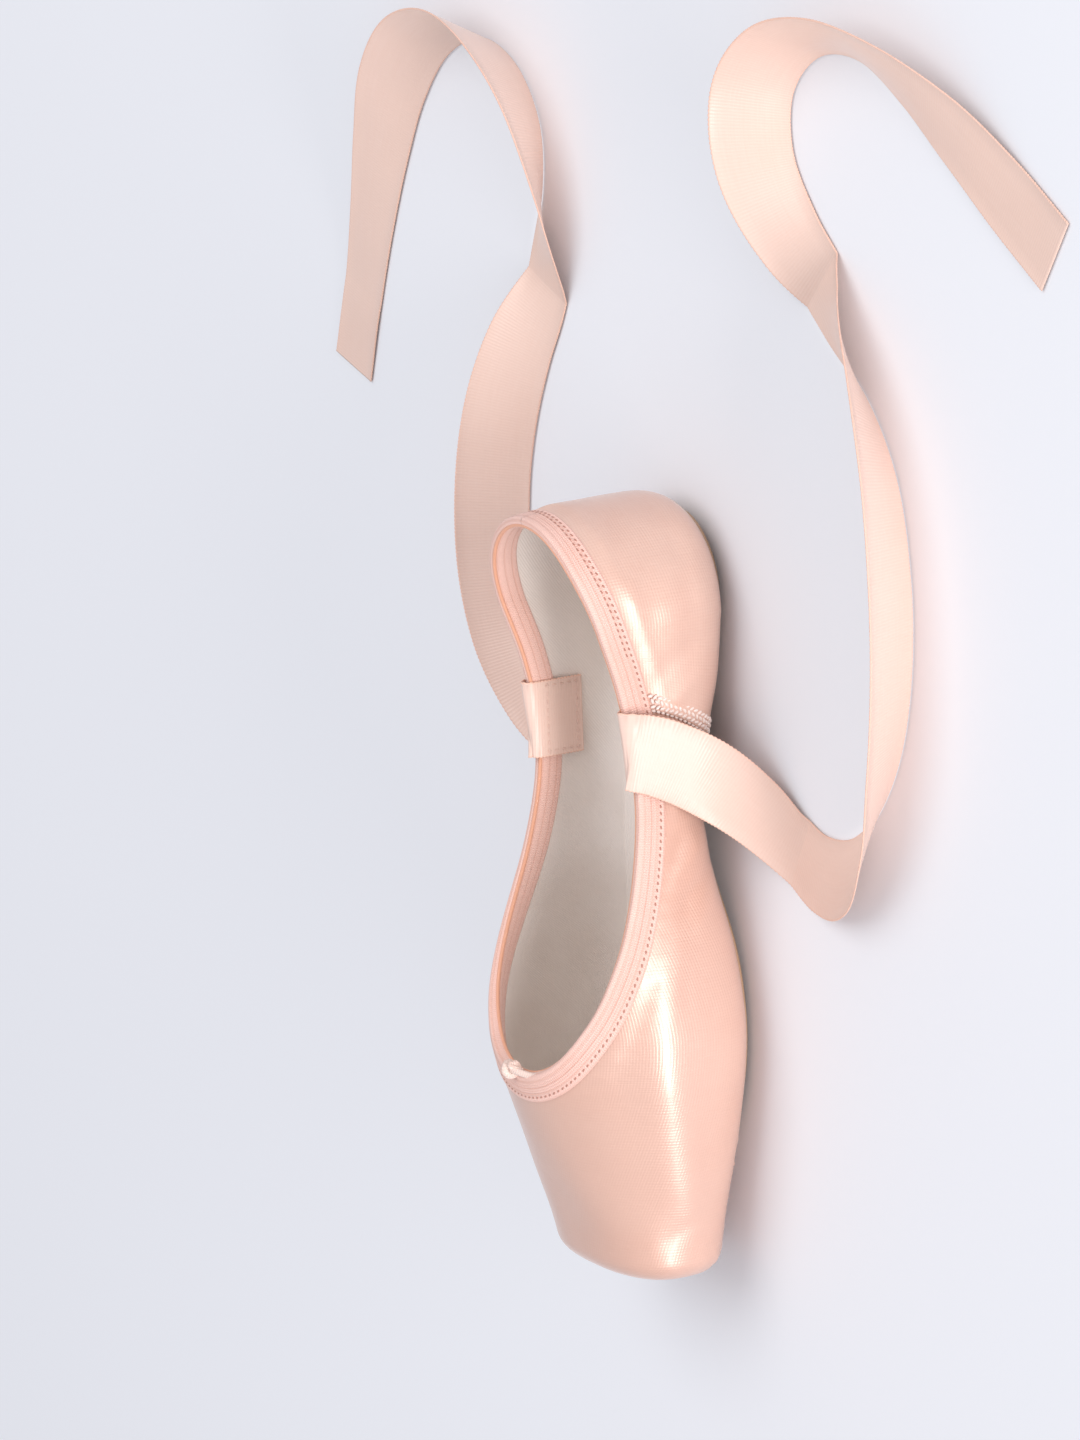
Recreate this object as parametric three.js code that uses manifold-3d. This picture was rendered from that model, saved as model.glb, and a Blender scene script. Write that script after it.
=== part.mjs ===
// A pointe shoe that stands on its sole, empty and unbent. Lengths are millimetres.
// +X runs from heel to toe, +Z is up, and the outer side of a left foot is at +Y.
// The origin is on the floor, below the middle of the shoe.
import * as THREE from "three";
import { mergeVertices } from "three/addons/utils/BufferGeometryUtils.js";
import Module from "manifold-3d";

const wasm = await Module();
wasm.setup();

// Driving dimensions.
const SHOE_LENGTH = 216;
const HEEL_AXIS = 30;
const HEEL_BACK = 30;
const PLATFORM_EDGE = 6;
const QUARTER_WALL = 1.6;
const BOX_WALL = 2.6;
const BOX_START = 125;
const BOX_FULL = 162;
const GAP = 0.3;
const OUTSOLE_THICKNESS = 2;
const INSOLE_THICKNESS = 1.5;
const BINDING_WIDTH = 8;
const BINDING_PROUD = 0.5;
const HEEL_PANEL_THICKNESS = 0.8;
const RIBBON_WIDTH = 22;
const RIBBON_THICKNESS = 0.8;
const DRAWSTRING_DIAMETER = 2;
const RIBBON_LIFT = 0.2;

// The heel panel stands behind the last, so the middle of the whole shoe is a little behind the last's.
const MIDDLE = (SHOE_LENGTH - GAP - HEEL_PANEL_THICKNESS) / 2;

// Sections across the last. x is measured from the back of the heel. half is half the width at the
// widest level, wide is the height of that level, low and high are the ends of the section, and
// lowSquare and highSquare say how square it is below and above the widest level.
const SECTIONS = [
  { x: 30, half: 27.5, wide: 19, low: 2.1, high: 96, lowSquare: 3.6, highSquare: 2.3 },
  { x: 47, half: 26.5, wide: 20, low: 3.2, high: 88, lowSquare: 3.5, highSquare: 2.3 },
  { x: 65, half: 26.5, wide: 23, low: 6.5, high: 80, lowSquare: 3.2, highSquare: 2.3 },
  { x: 82, half: 28, wide: 25, low: 8.2, high: 74, lowSquare: 3.0, highSquare: 2.2 },
  { x: 102, half: 31, wide: 25, low: 6.2, high: 69.5, lowSquare: 3.1, highSquare: 2.1 },
  { x: 122, half: 35.5, wide: 24, low: 2.9, high: 66, lowSquare: 3.4, highSquare: 2.0 },
  { x: 140, half: 38.8, wide: 23, low: 2.1, high: 63.5, lowSquare: 3.6, highSquare: 1.95 },
  { x: 154, half: 38.5, wide: 22.5, low: 2.1, high: 61, lowSquare: 3.6, highSquare: 1.95 },
  { x: 170, half: 36, wide: 22, low: 2.8, high: 55.5, lowSquare: 3.5, highSquare: 2.05 },
  { x: 186, half: 32.8, wide: 21.5, low: 3.8, high: 49.5, lowSquare: 3.2, highSquare: 2.2 },
  { x: 202, half: 29.5, wide: 21.5, low: 5, high: 43.5, lowSquare: 2.9, highSquare: 2.4 },
  { x: 216, half: 27.5, wide: 22, low: 6.2, high: 39.5, lowSquare: 2.7, highSquare: 2.5 },
];

// The collar's rim in side view, from behind the heel to the throat.
const COLLAR = [
  { x: -14, z: 54.5 },
  { x: 0, z: 53 },
  { x: 14, z: 50.5 },
  { x: 30, z: 45.5 },
  { x: 47, z: 39.5 },
  { x: 63.4, z: 36 },
  { x: 80.3, z: 35.2 },
  { x: 98, z: 38 },
  { x: 114, z: 43 },
  { x: 130, z: 49.8 },
  { x: 143, z: 56 },
  { x: 154, z: 61 },
  { x: 168, z: 67.5 },
];

// Outlines seen from above, as half widths. Each closes on the centre line at its first and last row.
const OUTSOLE_OUTLINE = [
  { x: 5, half: 0 },
  { x: 9, half: 12 },
  { x: 22, half: 18.5 },
  { x: 40.2, half: 17 },
  { x: 61.7, half: 13.5 },
  { x: 82, half: 13 },
  { x: 108, half: 18 },
  { x: 132, half: 25.5 },
  { x: 154, half: 27 },
  { x: 172, half: 22.5 },
  { x: 184, half: 13 },
  { x: 188, half: 0 },
];
const INSOLE_OUTLINE = [
  { x: 8, half: 0 },
  { x: 12, half: 12 },
  { x: 26, half: 20 },
  { x: 45.3, half: 19.5 },
  { x: 65, half: 17.5 },
  { x: 84, half: 18 },
  { x: 110, half: 23 },
  { x: 138, half: 30 },
  { x: 160, half: 28.5 },
  { x: 184, half: 23 },
  { x: 198, half: 14 },
  { x: 203, half: 0 },
];

// The heel panel's front edge in side view, from the floor up.
const HEEL_PANEL_FRONT = [
  { x: 73, z: -2 },
  { x: 68.5, z: 4 },
  { x: 61, z: 14 },
  { x: 55, z: 25 },
  { x: 50, z: 42 },
  { x: 48, z: 52 },
];

// The ribbons' routes, sewn end first, in the shoe's frame. across is the way that the ribbon's
// width points, before it is set square to the route.
const OUTER_RIBBON = [
  { x: -43.5, y: 21.8, z: 21, across: [0.99, 0, -0.12] },
  { x: -43.5, y: 22, z: 28, across: [0.99, 0, -0.12] },
  { x: -43.5, y: 22.3, z: 35.4, across: [0.99, 0, -0.12] },
  { x: -43.5, y: 24.8, z: 39.1, across: [0.99, 0, -0.12] },
  { x: -43.3, y: 28.1, z: 36.6, across: [0.99, 0, -0.12] },
  { x: -41, y: 30.2, z: 28.5, across: [0.92, -0.13, 0.36] },
  { x: -35, y: 34, z: 17.5, across: [0.84, -0.27, 0.46] },
  { x: -26, y: 41, z: 7.5, across: [0.78, -0.55, 0.29] },
  { x: -16.5, y: 52, z: 1.5, across: [0.87, -0.49, 0.03] },
  { x: -11.5, y: 67, z: 0, across: [0.99, -0.05, 0.14] },
  { x: -15, y: 84, z: 0, across: [0.8, 0.44, 0.41] },
  { x: -29, y: 99, z: 0, across: [0.42, 0.59, 0.69] },
  { x: -50, y: 109, z: 0, across: [0.16, 0.5, 0.85] },
  { x: -75, y: 114, z: 0, across: [0.04, 0.44, 0.9] },
  { x: -101, y: 114, z: 0, across: [-0.04, 0.44, 0.9] },
  { x: -127, y: 109, z: 0, across: [-0.18, 0.5, 0.85] },
  { x: -149, y: 97, z: 0, across: [-0.45, 0.59, 0.67] },
  { x: -166, y: 79, z: 0, across: [-0.7, 0.68, 0.24] },
  { x: -183, y: 62, z: 0, across: [-0.55, 0.76, -0.34] },
  { x: -203, y: 52, z: 0, across: [-0.12, 0.68, -0.72] },
  { x: -223, y: 55, z: 0, across: [0.23, 0.41, -0.88] },
  { x: -236, y: 71, z: 0, across: [0.41, 0.16, -0.9] },
  { x: -238, y: 93, z: 0, across: [0.58, -0.08, -0.81] },
  { x: -230, y: 115, z: 0, across: [0.74, -0.36, -0.56] },
  { x: -217, y: 136, z: 0, across: [0.81, -0.54, -0.22] },
  { x: -203, y: 156, z: 0, across: [0.83, -0.56, -0.03] },
  { x: -190, y: 176, z: 0, across: [0.84, -0.54, 0] },
];
const INNER_RIBBON = [
  { x: -43.5, y: -21.8, z: 21, across: [-0.99, 0, 0.12] },
  { x: -43.5, y: -22, z: 28, across: [-0.99, 0, 0.12] },
  { x: -43.5, y: -22.3, z: 35.4, across: [-0.99, 0, 0.12] },
  { x: -43.5, y: -24.8, z: 39.1, across: [-0.99, 0, 0.12] },
  { x: -43.3, y: -28.1, z: 36.6, across: [-0.99, 0, 0.12] },
  { x: -41.5, y: -30.2, z: 28.5, across: [-0.95, -0.11, -0.28] },
  { x: -37, y: -34, z: 17.5, across: [-0.91, -0.21, -0.35] },
  { x: -31, y: -40.5, z: 7.5, across: [-0.9, -0.39, -0.18] },
  { x: -26.5, y: -51, z: 1.5, across: [-0.99, -0.15, -0.03] },
  { x: -27.5, y: -64, z: 0, across: [-0.92, 0.37, -0.14] },
  { x: -37, y: -77, z: 0, across: [-0.58, 0.7, -0.42] },
  { x: -54, y: -86, z: 0, across: [-0.24, 0.7, -0.67] },
  { x: -75, y: -90, z: 0, across: [-0.05, 0.61, -0.79] },
  { x: -97, y: -89.5, z: 0, across: [0.07, 0.61, -0.79] },
  { x: -118, y: -85, z: 0, across: [0.19, 0.67, -0.72] },
  { x: -138, y: -78, z: 0, across: [0.34, 0.82, -0.47] },
  { x: -159, y: -68, z: 0, across: [0.35, 0.93, 0.07] },
  { x: -181, y: -62, z: 0, across: [0.06, 0.83, 0.56] },
  { x: -203, y: -65, z: 0, across: [-0.23, 0.53, 0.82] },
  { x: -220, y: -79, z: 0, across: [-0.34, 0.25, 0.91] },
  { x: -228, y: -100, z: 0, across: [-0.44, 0.03, 0.9] },
  { x: -223, y: -123, z: 0, across: [-0.53, -0.25, 0.81] },
  { x: -208, y: -142, z: 0, across: [-0.54, -0.57, 0.62] },
  { x: -188, y: -156, z: 0, across: [-0.48, -0.81, 0.34] },
  { x: -166, y: -167, z: 0, across: [-0.4, -0.91, 0.12] },
  { x: -143, y: -176, z: 0, across: [-0.34, -0.94, 0] },
  { x: -119, y: -184, z: 0, across: [-0.32, -0.95, 0] },
];

const SIDE_STATIONS = [
  216, 215, 213, 210, 204, 196, 187, 178, 170, 162, 154, 146, 138, 129, 119, 108, 97, 86, 75, 64, 55, 46, 38, 30,
];
const HEEL_STEPS = 14;
const LEVELS = 18;
const RIBBON_STEPS = 60;

// Numbers and tables.
const radians = (degrees) => (degrees * Math.PI) / 180;

// The value of one column of a table at x, by a cubic that passes through its rows.
function readTable(rows, column, x) {
  let k = 0;
  while (k < rows.length - 2 && x > rows[k + 1].x) k += 1;
  const slope = (i) => {
    const before = rows[Math.max(i - 1, 0)];
    const after = rows[Math.min(i + 1, rows.length - 1)];
    return (after[column] - before[column]) / (after.x - before.x);
  };
  const span = rows[k + 1].x - rows[k].x;
  const t = (x - rows[k].x) / span;
  const start = (2 * t ** 3 - 3 * t ** 2 + 1) * rows[k][column];
  const end = (3 * t ** 2 - 2 * t ** 3) * rows[k + 1][column];
  const lead = (t ** 3 - 2 * t ** 2 + t) * span * slope(k);
  const trail = (t ** 3 - t ** 2) * span * slope(k + 1);
  return start + end + lead + trail;
}

function wallAt(x) {
  return QUARTER_WALL + (BOX_WALL - QUARTER_WALL) * THREE.MathUtils.smoothstep(x, BOX_START, BOX_FULL);
}

// Solids.
function solidFrom(geometry) {
  const bare = geometry.clone();
  bare.deleteAttribute("normal");
  bare.deleteAttribute("uv");
  const merged = mergeVertices(bare, 1e-4);
  const corners = merged.index.array;
  const kept = [];
  for (let i = 0; i < corners.length; i += 3) {
    const [a, b, c] = [corners[i], corners[i + 1], corners[i + 2]];
    if (a !== b && b !== c && c !== a) kept.push(a, b, c);
  }
  const mesh = new wasm.Mesh({
    numProp: 3,
    vertProperties: Float32Array.from(merged.attributes.position.array),
    triVerts: Uint32Array.from(kept),
  });
  return new wasm.Manifold(mesh);
}

function geometryFrom(solid) {
  const mesh = solid.getMesh();
  const geometry = new THREE.BufferGeometry();
  geometry.setAttribute("position", new THREE.BufferAttribute(Float32Array.from(mesh.vertProperties), 3));
  geometry.setIndex(new THREE.BufferAttribute(Uint32Array.from(mesh.triVerts), 1));
  geometry.computeVertexNormals();
  return geometry;
}

// A shape drawn in side view (x, z), as a prism through the whole width.
function sidePrism(shape) {
  const depth = 160;
  const geometry = new THREE.ExtrudeGeometry(shape, { depth, bevelEnabled: false, steps: 1 });
  geometry.rotateX(Math.PI / 2);
  geometry.translate(0, depth / 2, 0);
  return solidFrom(geometry);
}

// A shape drawn from above (x, y), as a prism between two heights.
function planPrism(shape, bottom, top) {
  const geometry = new THREE.ExtrudeGeometry(shape, { depth: top - bottom, bevelEnabled: false, steps: 1 });
  geometry.translate(0, 0, bottom);
  return solidFrom(geometry);
}

// The last's surface: columns run round the shoe from the toe, past the heel and back to the toe, and
// levels run from the middle of the sole up to the middle of the top.
function lastColumns() {
  const columns = [];
  for (const x of SIDE_STATIONS) columns.push({ x, turn: 90 });
  for (let i = 1; i < HEEL_STEPS; i += 1) columns.push({ x: HEEL_AXIS, turn: 90 - (180 * i) / HEEL_STEPS });
  for (const x of [...SIDE_STATIONS].reverse()) columns.push({ x, turn: -90 });
  return columns;
}

function lastPoint(column, level) {
  const section = {};
  for (const name of ["half", "wide", "low", "high", "lowSquare", "highSquare"]) {
    section[name] = readTable(SECTIONS, name, column.x);
  }
  const past = Math.max(0, column.x - (SHOE_LENGTH - PLATFORM_EDGE));
  const rounding = PLATFORM_EDGE - Math.sqrt(PLATFORM_EDGE ** 2 - past ** 2);
  const angle = radians(-90 + (180 * level) / LEVELS);
  const square = angle < 0 ? section.lowSquare : section.highSquare;
  const reach = level === 0 || level === LEVELS ? 0 : Math.cos(angle) ** (2 / square);
  const rise = Math.abs(Math.sin(angle)) ** (2 / square);
  const depth = section.wide - section.low - rounding;
  const height = section.high - section.wide - rounding;
  const z = section.wide + (angle < 0 ? -depth : height) * rise;
  const side = (section.half - rounding) * reach * Math.sin(radians(column.turn));
  const back = Math.abs(column.turn) === 90 ? 0 : HEEL_BACK * reach * Math.cos(radians(column.turn));
  return new THREE.Vector3(column.x - back, side, z);
}

function lastGeometry() {
  const columns = lastColumns();
  const positions = [];
  for (const column of columns) {
    for (let level = 0; level <= LEVELS; level += 1) positions.push(...lastPoint(column, level).toArray());
  }
  const rows = LEVELS + 1;
  const index = [];
  columns.forEach((_, i) => {
    const here = i * rows;
    const next = ((i + 1) % columns.length) * rows;
    for (let level = 0; level < LEVELS; level += 1) {
      index.push(here + level, next + level, here + level + 1);
      index.push(next + level, next + level + 1, here + level + 1);
    }
  });
  const geometry = new THREE.BufferGeometry();
  geometry.setAttribute("position", new THREE.BufferAttribute(Float32Array.from(positions), 3));
  geometry.setIndex(index);
  const merged = mergeVertices(geometry, 1e-4);
  merged.computeVertexNormals();
  return merged;
}

// The last grown outwards along its own normals, by a distance that may vary along the shoe.
const LAST = lastGeometry();
function grownLast(growth) {
  const geometry = LAST.clone();
  const place = geometry.attributes.position;
  const normal = geometry.attributes.normal;
  for (let i = 0; i < place.count; i += 1) {
    const by = growth(place.getX(i));
    place.setX(i, place.getX(i) + by * normal.getX(i));
    place.setY(i, place.getY(i) + by * normal.getY(i));
    place.setZ(i, place.getZ(i) + by * normal.getZ(i));
  }
  return solidFrom(geometry);
}

// Everything above the collar's line, lowered square to the line by a distance.
function aboveCollar(lowered) {
  const curve = new THREE.SplineCurve(COLLAR.map((row) => new THREE.Vector2(row.x, row.z)));
  const line = [];
  const steps = 44;
  for (let i = 0; i <= steps; i += 1) {
    const point = curve.getPoint(i / steps);
    const tangent = curve.getTangent(i / steps);
    line.push(new THREE.Vector2(point.x + lowered * tangent.y, point.y - lowered * tangent.x));
  }
  const ceiling = 140;
  const shape = new THREE.Shape([
    ...line,
    new THREE.Vector2(line[line.length - 1].x, ceiling),
    new THREE.Vector2(line[0].x, ceiling),
  ]);
  return sidePrism(shape);
}

function outlineShape(rows, grow) {
  const outer = rows.map((row) => new THREE.Vector3(row.x, row.half, 0));
  const inner = rows.slice(1, -1).reverse().map((row) => new THREE.Vector3(row.x, -row.half, 0));
  const curve = new THREE.CatmullRomCurve3([...outer, ...inner], true, "centripetal");
  const steps = 72;
  const points = [];
  for (let i = 0; i < steps; i += 1) {
    const point = curve.getPoint(i / steps);
    const tangent = curve.getTangent(i / steps);
    points.push(new THREE.Vector2(point.x - grow * tangent.y, point.y + grow * tangent.x));
  }
  return new THREE.Shape(points);
}

// Sub-parts.
const outer = grownLast(() => 0);
const inner = grownLast((x) => -wallAt(x));
const soleOpeningInset = 6;

function makeUpper() {
  const soleOpening = planPrism(outlineShape(OUTSOLE_OUTLINE, -soleOpeningInset), -5, 16);
  return outer.subtract(inner).subtract(aboveCollar(BINDING_WIDTH)).subtract(soleOpening);
}

function makeBinding() {
  const skin = grownLast(() => BINDING_PROUD).subtract(grownLast((x) => -wallAt(x) - BINDING_PROUD));
  return skin.intersect(aboveCollar(BINDING_WIDTH - GAP)).subtract(aboveCollar(0));
}

function makeOutsole() {
  const layer = grownLast(() => GAP + OUTSOLE_THICKNESS).subtract(grownLast(() => GAP));
  return layer.intersect(planPrism(outlineShape(OUTSOLE_OUTLINE, 0), 0, 16));
}

function makeInsole() {
  const top = grownLast((x) => -wallAt(x) - GAP);
  const layer = top.subtract(grownLast((x) => -wallAt(x) - GAP - INSOLE_THICKNESS));
  return layer.intersect(planPrism(outlineShape(INSOLE_OUTLINE, 0), 0, 20));
}

function makeHeelPanel() {
  const layer = grownLast(() => GAP + HEEL_PANEL_THICKNESS).subtract(grownLast(() => GAP));
  const front = new THREE.SplineCurve(HEEL_PANEL_FRONT.map((row) => new THREE.Vector2(row.x, row.z)));
  const shape = new THREE.Shape([
    new THREE.Vector2(-10, -2),
    ...front.getPoints(16),
    new THREE.Vector2(-10, HEEL_PANEL_FRONT[HEEL_PANEL_FRONT.length - 1].z),
  ]);
  const clearOfSole = planPrism(outlineShape(OUTSOLE_OUTLINE, GAP), -5, 16);
  return layer.intersect(sidePrism(shape)).subtract(aboveCollar(BINDING_WIDTH + GAP)).subtract(clearOfSole);
}

// The drawstring's two short runs out of the casing and the knot between them.
function makeDrawstring() {
  const route = new THREE.CatmullRomCurve3([
    new THREE.Vector3(147.3, -8.4, 59.6),
    new THREE.Vector3(146.2, -4.5, 61),
    new THREE.Vector3(145.9, 0, 61.7),
    new THREE.Vector3(146.2, 4.5, 61),
    new THREE.Vector3(147.3, 8.4, 59.6),
  ]);
  const section = new THREE.Shape();
  section.absarc(0, 0, DRAWSTRING_DIAMETER / 2, 0, 2 * Math.PI);
  const run = new THREE.ExtrudeGeometry(section, {
    steps: 14,
    curveSegments: 4,
    bevelEnabled: false,
    extrudePath: route,
  });
  const knot = new THREE.SphereGeometry(1, 16, 10);
  knot.scale(2.4, 3.4, 2.6);
  knot.translate(145.9, 0, 61.9);
  return solidFrom(run).add(solidFrom(knot));
}

// A flat strip along a route, its width square to the way that it runs, and its lower edge never
// below the floor.
function makeRibbon(rows) {
  const spline = (points) => new THREE.CatmullRomCurve3(points, false, "catmullrom", 0.5);
  const places = spline(rows.map((row) => new THREE.Vector3(row.x, row.y, row.z)));
  const ways = spline(rows.map((row) => new THREE.Vector3(...row.across)));
  const positions = [];
  for (let i = 0; i <= RIBBON_STEPS; i += 1) {
    const t = i / RIBBON_STEPS;
    const centre = places.getPoint(t);
    const along = places.getTangent(t);
    const across = ways.getPoint(t).projectOnPlane(along).setLength(RIBBON_WIDTH / 2);
    const normal = new THREE.Vector3().crossVectors(along, across).setLength(RIBBON_THICKNESS / 2);
    centre.z = Math.max(centre.z, Math.abs(across.z) + Math.abs(normal.z) + RIBBON_LIFT);
    for (const [side, face] of [[1, 1], [-1, 1], [-1, -1], [1, -1]]) {
      const corner = centre.clone().addScaledVector(across, side).addScaledVector(normal, face);
      positions.push(corner.x, corner.y, corner.z);
    }
  }
  // The strip's two broad faces are split along the same diagonal, so that they stay apart where it twists.
  const index = [];
  for (let i = 0; i < RIBBON_STEPS; i += 1) {
    for (let k = 0; k < 4; k += 1) {
      const [a, b] = [4 * i + k, 4 * i + ((k + 1) % 4)];
      if (k === 2) index.push(a, b, b + 4, a, b + 4, a + 4);
      else index.push(a, b, a + 4, b, b + 4, a + 4);
    }
  }
  const last = 4 * RIBBON_STEPS;
  index.push(0, 2, 1, 0, 3, 2, last, last + 1, last + 2, last, last + 2, last + 3);
  const geometry = new THREE.BufferGeometry();
  geometry.setAttribute("position", new THREE.BufferAttribute(Float32Array.from(positions), 3));
  geometry.setIndex(index);
  geometry.computeVertexNormals();
  return geometry;
}

// Materials.
const satin = new THREE.MeshStandardMaterial({ color: 0xe6c3ae, roughness: 0.38, metalness: 0 });
const knit = new THREE.MeshStandardMaterial({ color: 0xf3cfc4, roughness: 0.75, metalness: 0 });
const leather = new THREE.MeshStandardMaterial({ color: 0xb99b80, roughness: 0.8, metalness: 0 });
const lining = new THREE.MeshStandardMaterial({ color: 0xf1ebe2, roughness: 0.9, metalness: 0 });
const elastic = new THREE.MeshStandardMaterial({ color: 0xf4ded2, roughness: 0.7, metalness: 0 });
const ribbonSatin = new THREE.MeshStandardMaterial({ color: 0xf3dccf, roughness: 0.35, metalness: 0 });

// The shoe, with its sub-parts moved so that the origin is below its middle.
const shoe = new THREE.Group();

function addPart(name, geometry, material) {
  const mesh = new THREE.Mesh(geometry, material);
  mesh.name = name;
  shoe.add(mesh);
}

function addCutPart(name, solid, material) {
  const geometry = geometryFrom(solid);
  geometry.translate(-MIDDLE, 0, 0);
  addPart(name, geometry, material);
}

addCutPart("upper", makeUpper(), satin);
addCutPart("outsole", makeOutsole(), leather);
addCutPart("insole", makeInsole(), lining);
addCutPart("heel_panel", makeHeelPanel(), satin);
addCutPart("binding", makeBinding(), knit);
addCutPart("drawstring", makeDrawstring(), elastic);
addPart("ribbon_outer_side", makeRibbon(OUTER_RIBBON), ribbonSatin);
addPart("ribbon_inner_side", makeRibbon(INNER_RIBBON), ribbonSatin);

export default shoe;
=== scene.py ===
import math

import bmesh
import bpy
import numpy as np
from bpy.props import FloatProperty, FloatVectorProperty, PointerProperty
from mathutils import Matrix, Vector


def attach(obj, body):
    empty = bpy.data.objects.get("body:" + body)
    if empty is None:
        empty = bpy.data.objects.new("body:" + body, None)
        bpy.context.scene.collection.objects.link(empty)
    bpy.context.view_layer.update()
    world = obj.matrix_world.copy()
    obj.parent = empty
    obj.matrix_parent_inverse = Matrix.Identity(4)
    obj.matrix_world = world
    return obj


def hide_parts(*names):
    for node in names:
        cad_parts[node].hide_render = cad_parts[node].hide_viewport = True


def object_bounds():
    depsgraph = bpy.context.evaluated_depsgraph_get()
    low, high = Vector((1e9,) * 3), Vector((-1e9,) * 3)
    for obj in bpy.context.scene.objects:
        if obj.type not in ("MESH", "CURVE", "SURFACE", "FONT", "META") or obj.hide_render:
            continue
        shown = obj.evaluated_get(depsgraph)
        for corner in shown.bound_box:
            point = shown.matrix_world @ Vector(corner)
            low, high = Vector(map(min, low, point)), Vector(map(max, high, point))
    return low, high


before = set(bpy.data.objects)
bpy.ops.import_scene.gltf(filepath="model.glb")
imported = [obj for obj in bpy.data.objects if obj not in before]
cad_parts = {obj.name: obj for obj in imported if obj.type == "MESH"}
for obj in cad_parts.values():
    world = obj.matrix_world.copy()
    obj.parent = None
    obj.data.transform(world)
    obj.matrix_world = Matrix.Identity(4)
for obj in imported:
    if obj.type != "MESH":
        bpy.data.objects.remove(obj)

bl_info = {
    "name": "Pointe shoe",
    "version": (1, 0, 0),
    "blender": (4, 5, 0),
    "location": "3D View > Sidebar > Pointe Shoe",
    "description": "Builds a satin pointe shoe, its ribbons and a plain studio round the fixed frame",
    "category": "Object",
}

CAD_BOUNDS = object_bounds()
ROOT = "root"
MM = 0.001

# The last. Lengths in its tables are millimetres, and x is measured from the back of the heel.
SHOE_LENGTH = 216.0
HEEL_AXIS = 30.0
HEEL_BACK = 30.0
PLATFORM_EDGE = 6.0
MIDDLE = 107.45
QUARTER_WALL = 1.6
BOX_WALL = 2.6
BOX_START = 125.0
BOX_FULL = 162.0
# Distances below the collar: of the skin's top edge, on which the binding's own line runs, of the
# heel panel's top edge, which the binding hides, and of the braid's top end.
RIM_DEPTH = 4.0
PANEL_TOP = 7.6
BRAID_TOP = 8.4
COLLAR_POINTS = 1000
PANEL_GAP = 0.35
SATIN_BACK = 0.8
LINING_FACE = 0.85

# Sections: x, half width, widest level, low end, high end, squareness below and above.
SECTIONS = np.array([
    (30, 27.5, 19, 2.1, 96, 3.6, 2.3),
    (47, 26.5, 20, 3.2, 88, 3.5, 2.3),
    (65, 26.5, 23, 6.5, 80, 3.2, 2.3),
    (82, 28, 25, 8.2, 74, 3.0, 2.2),
    (102, 31, 25, 6.2, 69.5, 3.1, 2.1),
    (122, 35.5, 24, 2.9, 66, 3.4, 2.0),
    (140, 38.8, 23, 2.1, 63.5, 3.6, 1.95),
    (154, 38.5, 22.5, 2.1, 61, 3.6, 1.95),
    (170, 36, 22, 2.8, 55.5, 3.5, 2.05),
    (186, 32.8, 21.5, 3.8, 49.5, 3.2, 2.2),
    (202, 29.5, 21.5, 5, 43.5, 2.9, 2.4),
    (216, 27.5, 22, 6.2, 39.5, 2.7, 2.5),
], float)

# The collar's rim in side view: x and height.
COLLAR = np.array([
    (-14, 54.5), (0, 53), (14, 50.5), (30, 45.5), (47, 39.5), (63.4, 36), (80.3, 35.2),
    (98, 38), (114, 43), (130, 49.8), (143, 56), (154, 61), (168, 67.5),
], float)

# Outlines seen from above: x and half width.
OUTSOLE_OUTLINE = np.array([
    (5, 0), (9, 12), (22, 18.5), (40.2, 17), (61.7, 13.5), (82, 13),
    (108, 18), (132, 25.5), (154, 27), (172, 22.5), (184, 13), (188, 0),
], float)
SOCK_OUTLINE = np.array([
    (8, 0), (12, 12), (26, 20), (45.3, 19.5), (65, 17.5), (84, 18),
    (110, 23), (138, 30), (160, 28.5), (184, 23), (198, 14), (203, 0),
], float)

# The heel panel's front edge in side view, from the floor up: x and height.
HEEL_PANEL_FRONT = np.array([(73, -2), (68.5, 4), (61, 14), (55, 25), (50, 42), (48, 52)], float)

# Soft creases in the satin, in side view: the two ends' x and height, side (1 outer, -1 inner,
# 0 both), half breadth of the fold, and its height, which is negative for a trough.
CREASES = np.array([
    (118, 35, 212, 17, 0, 6.0, 0.95),
    (126, 47, 208, 29, 0, 5.5, -0.42),
    (150, 10, 208, 6, 0, 4.5, -0.20),
    (84, 12, 97, 30, 1, 2.2, -0.42),
    (90, 11, 105, 31, 1, 2.4, 0.34),
    (97, 9, 111, 27, 1, 2.0, -0.36),
    (76, 13, 84, 27, 1, 2.0, 0.26),
    (104, 10, 116, 22, 1, 2.2, 0.22),
    (86, 11, 96, 29, -1, 2.3, -0.44),
    (93, 10, 104, 30, -1, 2.1, 0.36),
    (99, 9, 112, 25, -1, 2.2, -0.34),
    (78, 12, 86, 28, -1, 1.9, 0.24),
    (112, 30, 131, 39, 0, 3.0, -0.22),
    (118, 26, 140, 33, 1, 2.6, 0.20),
    (146, 12, 158, 26, -1, 3.2, -0.18),
    (196, 20, 206, 33, 1, 2.2, -0.20),
    (190, 33, 205, 38, -1, 2.4, 0.16),
], float)
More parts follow.
